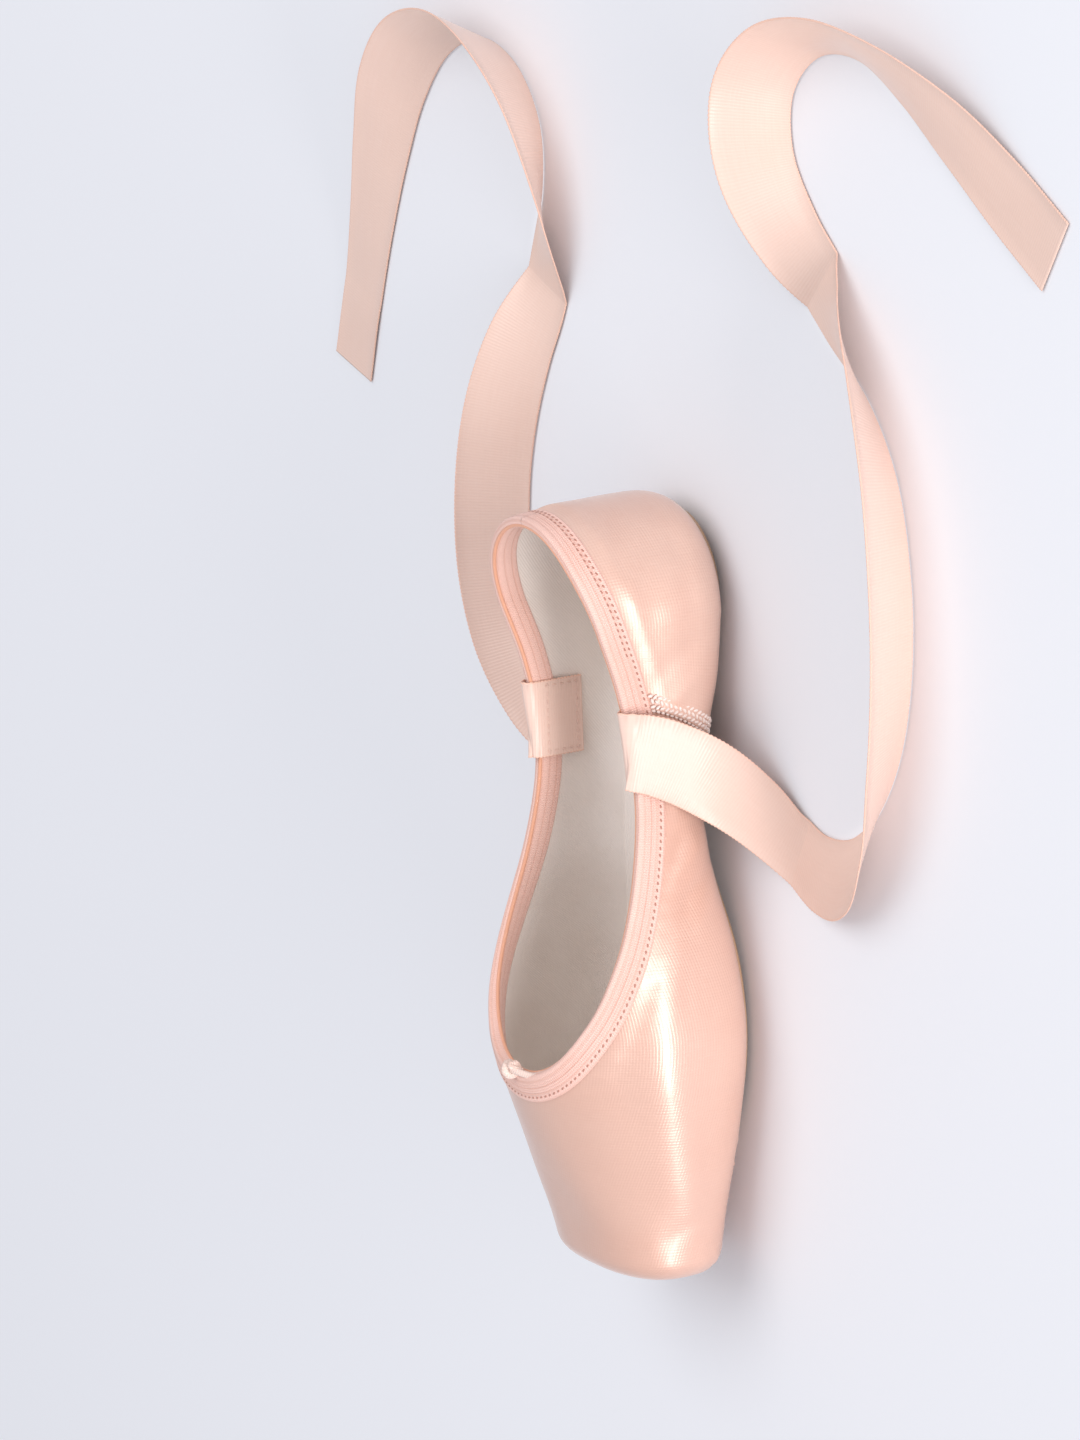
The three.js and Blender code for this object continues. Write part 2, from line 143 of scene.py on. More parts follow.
# Soft dimples in the heel panel, in the same way.
HEEL_CREASES = np.array([
    (34, 10, 46, 30, 1, 3.2, -0.40),
    (22, 8, 30, 30, 1, 3.4, 0.34),
    (44, 12, 53, 24, 1, 2.4, 0.26),
    (10, 12, 14, 36, 1, 3.4, -0.34),
    (36, 9, 48, 28, -1, 3.0, -0.36),
    (24, 10, 33, 33, -1, 3.6, 0.32),
    (12, 10, 15, 34, -1, 3.2, -0.30),
    (0, 30, 20, 37, 0, 3.0, -0.20),
    (16, 21, 58, 17, 0, 7.0, 0.85),
    (16, 34, 44, 29, 0, 2.6, 0.24),
    (2, 10, 30, 13, 0, 3.0, 0.26),
], float)

# The satin's relief, in mm: how uneven it is, its puckers below the binding, the fine crinkle at
# the toe's corner, and the pleats that spread from near the outsole's tip.
SATIN_UNEVEN = 0.10
PUCKER_PITCH, PUCKER_DEPTH, PUCKER_SPREAD, PUCKER_HEIGHT = 5.2, 9.5, 3.2, 0.06
HEEL_SKIN_RADIUS = 28
CRINKLE_SIZE, CRINKLE_HEIGHT = 3.6, 0.13
PLEAT_CENTRE, PLEATS, PLEAT_HEIGHT = 176, 17, 0.34

# The heel panel over the skin, in mm: its front edge, what it gains behind it, and its back.
PANEL_EDGE_HEIGHT, PANEL_STAND, PANEL_BACK = 0.32, 0.63, 0.12

# The ribbons' routes: x, y and z in millimetres in the frame, and the way that the ribbon's width
# points, before it is set square to the route. The sewn end, from inside the shoe over the rim, is
# alike on both sides.
SEWN_END = np.array([
    (-43.5, 24, 21, 0.99, 0, -0.12), (-43.5, 23.6, 28, 0.99, 0, -0.12),
    (-43.5, 23.4, 35.4, 0.99, 0, -0.12), (-43.5, 24.9, 37.7, 0.99, 0, -0.12),
    (-43.3, 27.4, 36.2, 0.99, 0, -0.12),
])
OUTER_LOOSE = np.array([
    (-41, 30.2, 28.5, 0.92, -0.13, 0.36), (-35, 34, 17.5, 0.84, -0.27, 0.46),
    (-26, 41, 7.5, 0.78, -0.55, 0.29), (-16.5, 52, 1.5, 0.87, -0.49, 0.03),
    (-11.5, 67, 0, 0.99, -0.05, 0.14), (-15, 84, 0, 0.8, 0.44, 0.41), (-29, 99, 0, 0.42, 0.59, 0.69),
    (-50, 109, 0, 0.16, 0.5, 0.85), (-75, 114, 0, 0.04, 0.44, 0.9), (-101, 114, 0, -0.04, 0.44, 0.9),
    (-127, 109, 0, -0.18, 0.5, 0.85), (-149, 97, 0, -0.45, 0.59, 0.67), (-166, 79, 0, -0.7, 0.68, 0.24),
    (-183, 62, 0, -0.55, 0.76, -0.34), (-203, 52, 0, -0.12, 0.68, -0.72),
    (-223, 55, 0, 0.23, 0.41, -0.88), (-236, 71, 0, 0.41, 0.16, -0.9),
    (-238, 93, 0, 0.58, -0.08, -0.81), (-230, 115, 0, 0.74, -0.36, -0.56),
    (-217, 136, 0, 0.81, -0.54, -0.22), (-203, 156, 0, 0.83, -0.56, -0.03),
    (-190, 176, 0, 0.84, -0.54, 0),
])
INNER_LOOSE = np.array([
    (-41.5, -30.2, 28.5, -0.95, -0.11, -0.28), (-37, -34, 17.5, -0.91, -0.21, -0.35),
    (-31, -40.5, 7.5, -0.9, -0.39, -0.18), (-26.5, -51, 1.5, -0.99, -0.15, -0.03),
    (-27.5, -64, 0, -0.92, 0.37, -0.14), (-37, -77, 0, -0.58, 0.7, -0.42),
    (-54, -86, 0, -0.24, 0.7, -0.67), (-75, -90, 0, -0.05, 0.61, -0.79),
    (-97, -89.5, 0, 0.07, 0.61, -0.79), (-118, -85, 0, 0.19, 0.67, -0.72),
    (-138, -78, 0, 0.34, 0.82, -0.47), (-159, -68, 0, 0.35, 0.93, 0.07),
    (-181, -62, 0, 0.06, 0.83, 0.56), (-203, -65, 0, -0.23, 0.53, 0.82),
    (-220, -79, 0, -0.34, 0.25, 0.91), (-228, -100, 0, -0.44, 0.03, 0.9),
    (-223, -123, 0, -0.53, -0.25, 0.81), (-208, -142, 0, -0.54, -0.57, 0.62),
    (-188, -156, 0, -0.48, -0.81, 0.34), (-166, -167, 0, -0.4, -0.91, 0.12),
    (-143, -176, 0, -0.34, -0.94, 0), (-119, -184, 0, -0.32, -0.95, 0),
])


def ribbon_rows(side, loose):
    """A ribbon's whole route, for side 1 (outer) or -1 (inner), with its places in metres."""
    mirror = (1, side, 1, side, side, side)
    return np.vstack([SEWN_END * mirror, loose]) * (MM, MM, MM, 1, 1, 1)


OUTER_RIBBON = ribbon_rows(1, OUTER_LOOSE)
INNER_RIBBON = ribbon_rows(-1, INNER_LOOSE)
RIBBON_LIFT = 0.0002
CAD_RIBBON_THICKNESS = 0.0008
# How many rings each ribbon has along its route.
RIBBON_STEPS = 1500
# How far the tab's seams lie from the ribbon's middle.
TAB_SEAM = 0.0092


def size_setting(name, description, default, low, high):
    return FloatProperty(
        name=name, description=description, default=default, min=low, max=high, unit="LENGTH"
    )


def colour_setting(name, description, default):
    return FloatVectorProperty(
        name=name, description=description, default=default, min=0, max=1, subtype="COLOR"
    )


class ShoeSettings(bpy.types.PropertyGroup):
    """Sizes and colours that a maker would change."""

    rib_depth: size_setting("Rib depth", "Height of the binding's knitted ribs", 0.00016, 0, 0.0004)
    binding_pitch: size_setting(
        "Binding stitch pitch", "Distance between stitches along the binding", 0.0019, 0.001, 0.005
    )
    seam_pitch: size_setting(
        "Seam stitch pitch", "Distance between stitches along the plain seams", 0.0025, 0.001, 0.006
    )
    braid_pitch: size_setting(
        "Braid pitch", "Distance between the stitches of the heel panel's braid", 0.0015, 0.0008, 0.003
    )
    ribbon_width: size_setting("Ribbon width", "Width of each ribbon", 0.022, 0.015, 0.03)
    ribbon_thickness: size_setting(
        "Ribbon thickness", "Thickness of the ribbons' satin", 0.00035, 0.0002, 0.0008
    )
    satin_colour: colour_setting("Satin", "Colour of the satin", (0.76, 0.485, 0.385))
    satin_shade: colour_setting("Satin shade", "Colour of the satin's deeper patches", (0.69, 0.40, 0.305))
    knit_colour: colour_setting("Binding", "Colour of the stretch binding", (0.90, 0.60, 0.52))
    ribbon_colour: colour_setting("Ribbon", "Colour of the ribbons' satin", (0.84, 0.62, 0.53))
    lining_colour: colour_setting("Lining", "Colour of the cotton lining", (0.90, 0.83, 0.77))
    leather_colour: colour_setting("Outsole", "Colour of the outsole's leather", (0.47, 0.31, 0.205))
    floor_colour: colour_setting("Floor", "Colour of the studio floor", (0.84, 0.85, 0.885))


def settings():
    return bpy.context.scene.pointe_shoe


# Numbers and curves.
def read_table(rows, x):
    """The columns of a table at x, by cubics that pass through its rows."""
    xs, values = rows[:, 0], rows[:, 1:]
    number = np.arange(len(xs))
    before, after = np.maximum(number - 1, 0), np.minimum(number + 1, len(xs) - 1)
    slopes = (values[after] - values[before]) / (xs[after] - xs[before])[:, None]
    k = np.clip(np.searchsorted(xs, x) - 1, 0, len(xs) - 2)
    span = (xs[k + 1] - xs[k])[:, None]
    t = (np.asarray(x) - xs[k])[:, None] / span
    return (
        (2 * t**3 - 3 * t**2 + 1) * values[k] + (3 * t**2 - 2 * t**3) * values[k + 1]
        + (t**3 - 2 * t**2 + t) * span * slopes[k] + (t**3 - t**2) * span * slopes[k + 1]
    )


def spline(rows, t):
    """Points at t, from 0 to 1, on a smooth curve through the rows."""
    ends = np.vstack([2 * rows[0] - rows[1], rows, 2 * rows[-1] - rows[-2]])
    at = np.clip(t, 0, 1) * (len(rows) - 1)
    k = np.minimum(at.astype(int), len(rows) - 2)
    w = (at - k)[:, None]
    a, b, c, d = (ends[k + i] for i in range(4))
    return (
        (2 * w**3 - 3 * w**2 + 1) * b + (3 * w**2 - 2 * w**3) * c
        + (w**3 - 2 * w**2 + w) * (c - a) / 2 + (w**3 - w**2) * (d - b) / 2
    )


def unit(vectors):
    return vectors / np.maximum(np.linalg.norm(vectors, axis=-1, keepdims=True), 1e-12)


def run_lengths(points):
    """How far along a line each of its points lies."""
    return np.r_[0, np.cumsum(np.linalg.norm(np.diff(points, axis=0), axis=1))]


def evenly(points, count):
    """A line's points moved to equal distances along it."""
    run = run_lengths(points)
    at = np.linspace(0, run[-1], count)
    return np.column_stack([np.interp(at, run, column) for column in points.T])


def smooth_step(value, start, end):
    t = np.clip((value - start) / (end - start), 0, 1)
    return t * t * (3 - 2 * t)


def wave_noise(points, scale, seed):
    """A soft random height at each point, between about -1 and 1, from a few seeded waves."""
    dice = np.random.default_rng(seed)
    total = np.zeros(len(points))
    for _ in range(7):
        direction = unit(dice.normal(size=3)) * dice.uniform(0.6, 1.5) / scale
        total += np.sin(points @ direction * math.tau + dice.uniform(0, math.tau))
    return total / 3.5


# The last's surface.
def section_at(x):
    """Half width, widest level, low and high ends, and squareness below and above, at x."""
    table = read_table(SECTIONS, np.clip(x, HEEL_AXIS, SHOE_LENGTH)).T
    half, wide, low, high, low_square, high_square = table
    past = np.clip(x - (SHOE_LENGTH - PLATFORM_EDGE), 0, PLATFORM_EDGE)
    rounding = PLATFORM_EDGE - np.sqrt(PLATFORM_EDGE**2 - past**2)
    return half - rounding, wide, low + rounding, high - rounding, low_square, high_square


def fullness(points):
    """Below 0 inside the last, 0 on its surface and above 0 outside."""
    x, y, z = points.T
    half, wide, low, high, low_square, high_square = section_at(x)
    reach = np.hypot(y / half, np.maximum(HEEL_AXIS - x, 0) / HEEL_BACK)
    below = z < wide
    square = np.where(below, low_square, high_square)
    height = np.where(below, wide - low, high - wide)
    return reach**square + (np.abs(z - wide) / height) ** square - 1


def slope_of(function, points, step=0.03):
    """The gradient of a function at points."""
    axes = np.eye(3) * step
    return np.column_stack([
        (function(points + axis) - function(points - axis)) / (2 * step) for axis in axes
    ])


def outward(points):
    """Unit normals of the last's surface."""
    return unit(slope_of(fullness, points))


def settle(points, rounds=5):
    """Points moved square onto the last's surface."""
    for _ in range(rounds):
        rise = slope_of(fullness, points)
        move = rise * (fullness(points) / np.maximum((rise**2).sum(1), 1e-9))[:, None]
        points = points - move * np.minimum(1, 2 / np.maximum(np.linalg.norm(move, axis=1), 1e-9))[:, None]
    return points


def wall_at(x):
    return QUARTER_WALL + (BOX_WALL - QUARTER_WALL) * smooth_step(x, BOX_START, BOX_FULL)


COLLAR_LINE = spline(COLLAR, np.linspace(0, 1, 800))
COLLAR_SLOPE = np.gradient(COLLAR_LINE[:, 1], COLLAR_LINE[:, 0])


def collar_at(x):
    """Height and slope of the collar line."""
    return np.interp(x, *COLLAR_LINE.T), np.interp(x, COLLAR_LINE[:, 0], COLLAR_SLOPE)


def below_collar(points):
    """How far points lie below the collar line, square to it in side view."""
    height, slope = collar_at(points[:, 0])
    return (height - points[:, 2]) / np.sqrt(1 + slope**2)


def last_points(x, turn, angle):
    """The last's surface: one column for each x and turn, one point for each level angle."""
    half, wide, low, high, low_square, high_square = (part[:, None] for part in section_at(x))
    angle = np.asarray(angle)[None, :]
    square = np.where(angle < 0, low_square, high_square)
    reach = np.maximum(np.cos(angle), 0) ** (2 / square)
    rise = np.abs(np.sin(angle)) ** (2 / square)
    z = wide + np.where(angle < 0, low - wide, high - wide) * rise
    turned = turn[:, None]
    return np.stack([
        x[:, None] - HEEL_BACK * reach * np.cos(turned) + 0 * z, half * reach * np.sin(turned), z
    ], axis=-1)


LEVEL_ANGLES = np.linspace(-math.pi / 2, math.pi / 2, 1500)


def cut_columns(x, turn, count, start=None, stop=None):
    """Columns of evenly spaced points on the last, from where start passes 0 to where stop does."""
    full = last_points(x, turn, LEVEL_ANGLES)
    lines = []
    for line in full:
        run = run_lengths(line)
        limits = []
        for limit, whole in ((start, 0), (stop, run[-1])):
            if limit is None:
                limits.append(whole)
                continue
            value = limit(line)
            crossing = np.flatnonzero((value[:-1] < 0) & (value[1:] >= 0))
            if not len(crossing):
                limits.append(whole)
                continue
            k = crossing[0]
            part = value[k] / (value[k] - value[k + 1])
            limits.append(run[k] + part * (run[k + 1] - run[k]))
        at = np.linspace(limits[0], limits[1], count)
        lines.append(np.column_stack([np.interp(at, run, column) for column in line.T]))
    return np.array(lines)


def collar_loop(lowered, count):
    """The closed line on the last at a distance below the collar, evenly spaced, from the heel."""
    def line_at(x):
        height, slope = collar_at(x)
        return height - lowered * np.sqrt(1 + slope**2)

    def reach_at(x, z):
        _, wide, _, high, _, square = section_at(x)
        return np.maximum(1 - (np.maximum(z - wide, 0) / (high - wide)) ** square, 0) ** (1 / square)

    near, far = 140.0, 175.0
    for _ in range(60):
        throat = (near + far) / 2
        open_here = line_at(np.array([throat])) < section_at(np.array([throat]))[3]
        near, far = (throat, far) if open_here[0] else (near, throat)
    x = near - (near - HEEL_AXIS) * np.linspace(1, 0, 900) ** 2
    side = np.column_stack([x, section_at(x)[0] * reach_at(x, line_at(x)), line_at(x)])
    side[-1, 1] = 0
    turn = np.linspace(0, math.pi / 2, 200)[:-1]
    back = np.zeros_like(turn)
    for _ in range(30):
        reach = reach_at(np.full_like(turn, HEEL_AXIS), line_at(back))
        back = HEEL_AXIS - HEEL_BACK * reach * np.cos(turn)
    half = section_at(np.array([HEEL_AXIS]))[0]
    heel = np.column_stack([back, half * reach * np.sin(turn), line_at(back)])
    one_side = np.vstack([heel, side])
    loop = np.vstack([one_side, one_side[-2::-1] * (1, -1, 1)])
    return evenly(loop, count + 1)[:-1]


def crease_height(points, table):
    """How far the satin stands out of the last at points, from a table of creases, in mm."""
    height = np.zeros(len(points))
    place = points[:, [0, 2]]
    for x0, z0, x1, z1, side, breadth, rise in table:
        start, line = np.array([x0, z0]), np.array([x1 - x0, z1 - z0])
        along = (place - start) @ line / (line @ line)
        bend = 0.06 * np.linalg.norm(line) * np.sin(math.pi * np.clip(along, 0, 1))
        across = (place - start) @ np.array([-line[1], line[0]]) / np.linalg.norm(line) - bend
        ends = smooth_step(along, -0.1, 0.3) * (1 - smooth_step(along, 0.7, 1.1))
        here = 1 if side == 0 else smooth_step(points[:, 1] * side, 0, 8)
        height += rise * here * ends * np.exp(-((across / breadth) ** 2))
    return height


def rim_puckers(points, depth):
    """Fine puckers where the binding gathers the satin, between -1 and 1."""
    x, y, _ = points.T
    heel_run = -np.arctan2(np.abs(y), HEEL_AXIS - x) * HEEL_SKIN_RADIUS
    run = np.where(x < HEEL_AXIS, heel_run, x) * np.sign(y + 1e-9)
    near_rim = np.exp(-(((depth - PUCKER_DEPTH) / PUCKER_SPREAD) ** 2))
    return np.sin(run * math.tau / PUCKER_PITCH + 1.5 * np.sin(run / 9)) * near_rim


def toe_pleats(points):
    """Pleats that spread from the outsole's tip under the toe, between -1 and 1."""
    x, y, z = points.T
    bearing = np.arctan2(y, x - PLEAT_CENTRE)
    away = np.hypot(x - PLEAT_CENTRE, y)
    folds = np.sin(bearing * PLEATS + 0.8 * np.sin(bearing * 5))
    return folds * (1 - smooth_step(z, 4.6, 8.4)) * smooth_step(away, 11, 16) * smooth_step(x, 172, 180)


def satin_relief(points):
    """The satin's creases, its fine puckers below the binding and its pleats under the toe, in mm."""
    x, _, z = points.T
    depth = below_collar(points)
    open_side = 1 - smooth_step(x, 150, 162)
    clear = smooth_step(depth, 8.5, 14) * open_side + (1 - open_side)
    out_of_sole = smooth_step(z, 3.5, 9)
    height = crease_height(points, CREASES) * clear * out_of_sole
    height += SATIN_UNEVEN * wave_noise(points * (1, 1, 1.6), 26, 3) * clear * out_of_sole
    height += PUCKER_HEIGHT * rim_puckers(points, depth) * open_side
    crinkle = smooth_step(x, 196, 208) * (1 - smooth_step(z, 14, 24))
    height += CRINKLE_HEIGHT * wave_noise(points, CRINKLE_SIZE, 12) * crinkle * out_of_sole
    return height + PLEAT_HEIGHT * toe_pleats(points) * (1 - smooth_step(x, 211, 216))


# Meshes.
def placed(points):
    """Points of the last, in mm, in the frame, in metres."""
    return (np.asarray(points, float) - (MIDDLE, 0, 0)) * MM


def grid_faces(rows, columns, close_rows=False, first=0, flip=False):
    """The quads of a grid of points stored row by row."""
    row = np.arange(rows if close_rows else rows - 1)
    column = np.arange(columns - 1)
    a = (row[:, None] * columns + column[None, :]).ravel()
    b = (((row + 1) % rows)[:, None] * columns + column[None, :]).ravel()
    quads = np.column_stack([a, b, b + 1, a + 1]) + first
    return quads[:, ::-1] if flip else quads


def make_piece(name, points, faces, finish, weave=None, smooth=True, merge=None):
    """An object from points in metres and faces, with an optional weave map of one pair a point."""
    mesh = bpy.data.meshes.new(name)
    mesh.from_pydata([tuple(p) for p in points], [], [tuple(int(i) for i in f) for f in faces])
    if weave is not None:
        layer = mesh.uv_layers.new(name="weave")
        corners = np.zeros(len(mesh.loops), np.int32)
        mesh.loops.foreach_get("vertex_index", corners)
        layer.data.foreach_set("uv", np.asarray(weave, np.float32)[corners].ravel())
    piece = bpy.data.objects.new(name, mesh)
    bpy.context.scene.collection.objects.link(piece)
    piece.data.materials.append(finish)
    if merge:
        weld(piece, merge)
    if smooth:
        mesh.shade_smooth()
    return piece


def weld(piece, distance):
    """Joins a piece's doubled points and turns its faces outwards."""
    work = bmesh.new()
    work.from_mesh(piece.data)
    bmesh.ops.remove_doubles(work, verts=work.verts, dist=distance)
    bmesh.ops.dissolve_degenerate(work, edges=work.edges, dist=distance / 10)
    bmesh.ops.recalc_face_normals(work, faces=work.faces)
    work.to_mesh(piece.data)
    work.free()


def shell(name, outer, inner, finish, closed=False, weave=None):
    """A wall between two grids whose rows have equal counts, its open edges closed by strips."""
    rows, across = outer.shape[:2]
    points = np.vstack([outer.reshape(-1, 3), inner.reshape(-1, 3)])
    offset = rows * across
    within = inner.shape[1]
    faces = [grid_faces(rows, across, closed), grid_faces(rows, within, closed, offset, True)]
    row = np.arange(rows if closed else rows - 1)
    following = (row + 1) % rows
    low, low_in = row * across, offset + row * within
    low_next, low_in_next = following * across, offset + following * within
    faces.append(np.column_stack([low, low_in, low_in_next, low_next]))
    faces.append(np.column_stack([
        low_next + across - 1, low_in_next + within - 1, low_in + within - 1, low + across - 1
    ]))
    if not closed:
        if within != across:
            raise RuntimeError(f"{name}: an open wall needs equal columns on both faces")
        for end, turned in ((0, True), (rows - 1, False)):
            a = end * across + np.arange(across - 1)
            strip = np.column_stack([a, a + 1, offset + a + 1, offset + a])
            faces.append(strip[:, ::-1] if turned else strip)
    quads = np.vstack(faces)
    quads = quads[~(np.abs(points[quads][..., 1]) < 1e-6).all(1)]
    maps = None
    if weave is not None:
        maps = np.vstack([weave[0].reshape(-1, 2), weave[1].reshape(-1, 2)])
    return make_piece(name, placed(points), quads, finish, maps, merge=1e-6)


def weave_map(grid):
    """Distances along and up a grid's surface, in metres, for each of its points."""
    step = np.linalg.norm(np.diff(grid, axis=0), axis=2).mean(1)
    along = np.r_[0, np.cumsum(step)][:, None] + np.zeros(grid.shape[:2])
    up = np.cumsum(np.concatenate([
        np.zeros((grid.shape[0], 1)), np.linalg.norm(np.diff(grid, axis=1), axis=2)
    ], axis=1), axis=1)
    return np.stack([along, up], axis=-1) * MM


def swept(name, loop, finish, weave=None, closed=True):
    """A tube from rings of points in metres, one ring of equal size for each place on its line."""
    rings, around = loop.shape[:2]
    ring = np.arange(rings if closed else rings - 1)
    side = np.arange(around)
    a = (ring[:, None] * around + side).ravel()
    b = (ring[:, None] * around + (side + 1) % around).ravel()
    c = (((ring + 1) % rings)[:, None] * around + (side + 1) % around).ravel()
    d = (((ring + 1) % rings)[:, None] * around + side).ravel()
    faces = [tuple(face) for face in np.column_stack([a, b, c, d])]
    if not closed:
        faces.append(tuple(range(around))[::-1])
        faces.append(tuple((rings - 1) * around + k for k in range(around)))
    maps = None if weave is None else weave.reshape(-1, 2)
    return make_piece(name, loop.reshape(-1, 3), faces, finish, maps, merge=1e-7)


# Materials.
class Value:
    """A socket of a finish, used in plain arithmetic."""

    def __init__(self, finish, socket):
        self.finish, self.socket = finish, socket

    def math(self, operation, *others):
        return self.finish.add("ShaderNodeMath", {"operation": operation}, dict(enumerate(others)))

    def __add__(self, other):
        return self.math("ADD", self, other)

    def __sub__(self, other):
        return self.math("SUBTRACT", self, other)

    def __rsub__(self, other):
        return self.math("SUBTRACT", other, self)

    def __mul__(self, other):
        return self.math("MULTIPLY", self, other)

    def __truediv__(self, other):
        return self.math("DIVIDE", self, other)

    def __pow__(self, other):
        return self.math("POWER", self, other)

    __radd__, __rmul__ = __add__, __mul__

    def sin(self):
        return self.math("SINE", self)

    def wave(self, pitch):
        """A sine of this distance, one wave for each pitch."""
        return (self * (math.tau / pitch)).sin()

    def size(self):
        return self.math("ABSOLUTE", self)

    def step(self, start, end):
        """0 before start, 1 after end and smooth between them."""
        return self.finish.add("ShaderNodeMapRange", {"interpolation_type": "SMOOTHSTEP"}, {
            "Value": self, "From Min": start, "From Max": end,
        })


class Finish:
    """A material whose nodes are added by one method."""

    def __init__(self, name, **constants):
        self.material = bpy.data.materials.new(name)
        self.material.use_nodes = True
        self.nodes = self.material.node_tree.nodes
        self.links = self.material.node_tree.links
        self.shader = next(node for node in self.nodes if node.type == "BSDF_PRINCIPLED")
        self.set(**constants)

    def set(self, **inputs):
        """Sets the main shader's sockets; an underscore in a name stands for a space."""
        for name, value in inputs.items():
            self.feed(self.shader.inputs[name.replace("_", " ")], value)

    def feed(self, socket, value):
        if isinstance(value, Value):
            self.links.new(value.socket, socket)
        elif socket.type == "RGBA":
            socket.default_value = (*value[:3], 1)
        else:
            socket.default_value = value

    def add(self, kind, options=None, values=None, output=0):
        node = self.nodes.new(kind)
        for name, value in (options or {}).items():
            setattr(node, name, value)
        for name, value in (values or {}).items():
            self.feed(node.inputs[name], value)
        return Value(self, node.outputs[output])

    def mix(self, share, first, second):
        """A colour between two colours."""
        return self.add("ShaderNodeMix", {"data_type": "RGBA"}, {0: share, 6: first, 7: second}, 2)

    def weave(self):
        """The weave map's two directions, in metres."""
        pair = self.add("ShaderNodeUVMap", {"uv_map": "weave"})
        x = self.add("ShaderNodeSeparateXYZ", None, {0: pair}, 0)
        y = Value(self, x.socket.node.outputs[1])
        return pair, x, y

    def place(self):
        return self.add("ShaderNodeTexCoord", None, None, "Object")

    def noise(self, vector, scale, detail=3.0, roughness=0.5):
        return self.add("ShaderNodeTexNoise", None, {
            "Vector": vector, "Scale": scale, "Detail": detail, "Roughness": roughness,
        })

    def stretched(self, vector, scale, detail=2.0):
        """Noise drawn out along an axis: scale is how fine it is along each."""
        drawn = self.add("ShaderNodeMapping", None, {"Vector": vector, "Scale": scale})
        return self.noise(drawn, 1.0, detail, 0.6)

    def bump(self, height, distance, strength=1.0, under=None):
        values = {"Height": height, "Distance": distance, "Strength": strength}
        if under is not None:
            values["Normal"] = under
        return self.add("ShaderNodeBump", None, values)


def satin_finish(name, colour, shade, roughness=0.38, weave_depth=0.00009):
    """Woven satin: long floats that shine, crossed by a fine grid of binding points."""
    satin = Finish(
        name, Specular_IOR_Level=0.9, Coat_Weight=0.7, Coat_Roughness=0.26, Metallic=0.22,
        Sheen_Weight=0.10, Sheen_Roughness=0.4, Sheen_Tint=(1.0, 0.93, 0.88),
    )
    pair, along, across = satin.weave()
    place = satin.place()
    clouds = satin.noise(place, 34, 2.0)
    floats = satin.stretched(pair, (160, 2000, 1))
    slubs = satin.stretched(pair, (1700, 180, 1))
    grid = along.wave(0.00088) + across.wave(0.00088)
    tint = clouds.step(0.35, 0.70) * 0.30 + floats * 0.34 + slubs * 0.30 + grid * 0.06
    satin.set(
        Base_Color=satin.mix(tint, colour, shade),
        Roughness=roughness + (floats - 0.5) * 0.16 + (clouds - 0.5) * 0.08,
    )
    height = floats * 0.55 + slubs * 0.55 + grid * 0.12
    satin.set(Normal=satin.bump(height, weave_depth, 1.0))
    return satin.material


def knit_finish(name, colour, shade):
    """Stretch knit: small loops in lengthwise ribs."""
    knit = Finish(
        name, Specular_IOR_Level=0.35, Sheen_Weight=0.3, Sheen_Roughness=0.5,
        Sheen_Tint=(1.0, 0.9, 0.88),
    )
    pair, along, across = knit.weave()
    loops = (along * (math.tau / 0.0007) + across.wave(0.0011) * 1.2).sin()
    fuzz = knit.stretched(pair, (2200, 2600, 1), 3.0)
    patches = knit.noise(knit.place(), 60, 2.0)
    # Grooves between the ribs: the bump sinks them, and the tint darkens them towards the shade colour,
    # which is painted shade in the grooves.
    grooves_and_shade = across.wave(0.0024).step(0.55, 1.0)
    tint = loops * 0.20 + fuzz * 0.35 + patches.step(0.3, 0.75) * 0.2 + grooves_and_shade * 0.45
    knit.set(Base_Color=knit.mix(tint, colour, shade), Roughness=0.55 + (fuzz - 0.5) * 0.2)
    knit.set(Normal=knit.bump(loops * 0.5 + fuzz * 0.5 - grooves_and_shade, 0.00012, 0.8))
    return knit.material


def drill_finish(name, colour, shade):
    """Cotton drill: a diagonal twill with a soft nap."""
    drill = Finish(name, Specular_IOR_Level=0.25, Sheen_Weight=0.15, Sheen_Roughness=0.6)
    pair, along, across = drill.weave()
    twill = (along + across).wave(0.0009)
    yarn = across.wave(0.00045)
    nap = drill.stretched(pair, (2000, 2000, 1), 3.0)
    marks = drill.noise(drill.place(), 40, 3.0)
    tint = marks.step(0.35, 0.75) * 0.5 + twill * 0.10 + nap * 0.25
    drill.set(Base_Color=drill.mix(tint, colour, shade), Roughness=0.82 + (nap - 0.5) * 0.15)
    drill.set(Normal=drill.bump(twill * 0.5 + yarn * 0.2 + nap * 0.4, 0.00006, 0.6))
    return drill.material


def leather_finish(name, colour, shade):
    """Buffed sole leather: fine grain, pores and a few rubbed scuffs."""
    leather = Finish(name, Specular_IOR_Level=0.35)
    place = leather.place()
    grain = leather.noise(place, 900, 4.0, 0.6)
    pores = leather.add("ShaderNodeTexVoronoi", {"feature": "F1"}, {"Vector": place, "Scale": 620.0})
    patches = leather.noise(place, 38, 4.0, 0.55)
    scuffs = leather.stretched(place, (90, 700, 90), 3.0).step(0.60, 0.76)
    tint = patches.step(0.32, 0.72) * 0.65 + grain * 0.2
    worn = leather.mix(scuffs * 0.45, leather.mix(tint, colour, shade), (0.62, 0.46, 0.34))
    leather.set(Base_Color=worn, Roughness=0.66 + (grain - 0.5) * 0.2 + scuffs * 0.1)
    leather.set(Normal=leather.bump(grain * 0.5 + pores * 0.5, 0.00012, 0.6))
    return leather.material


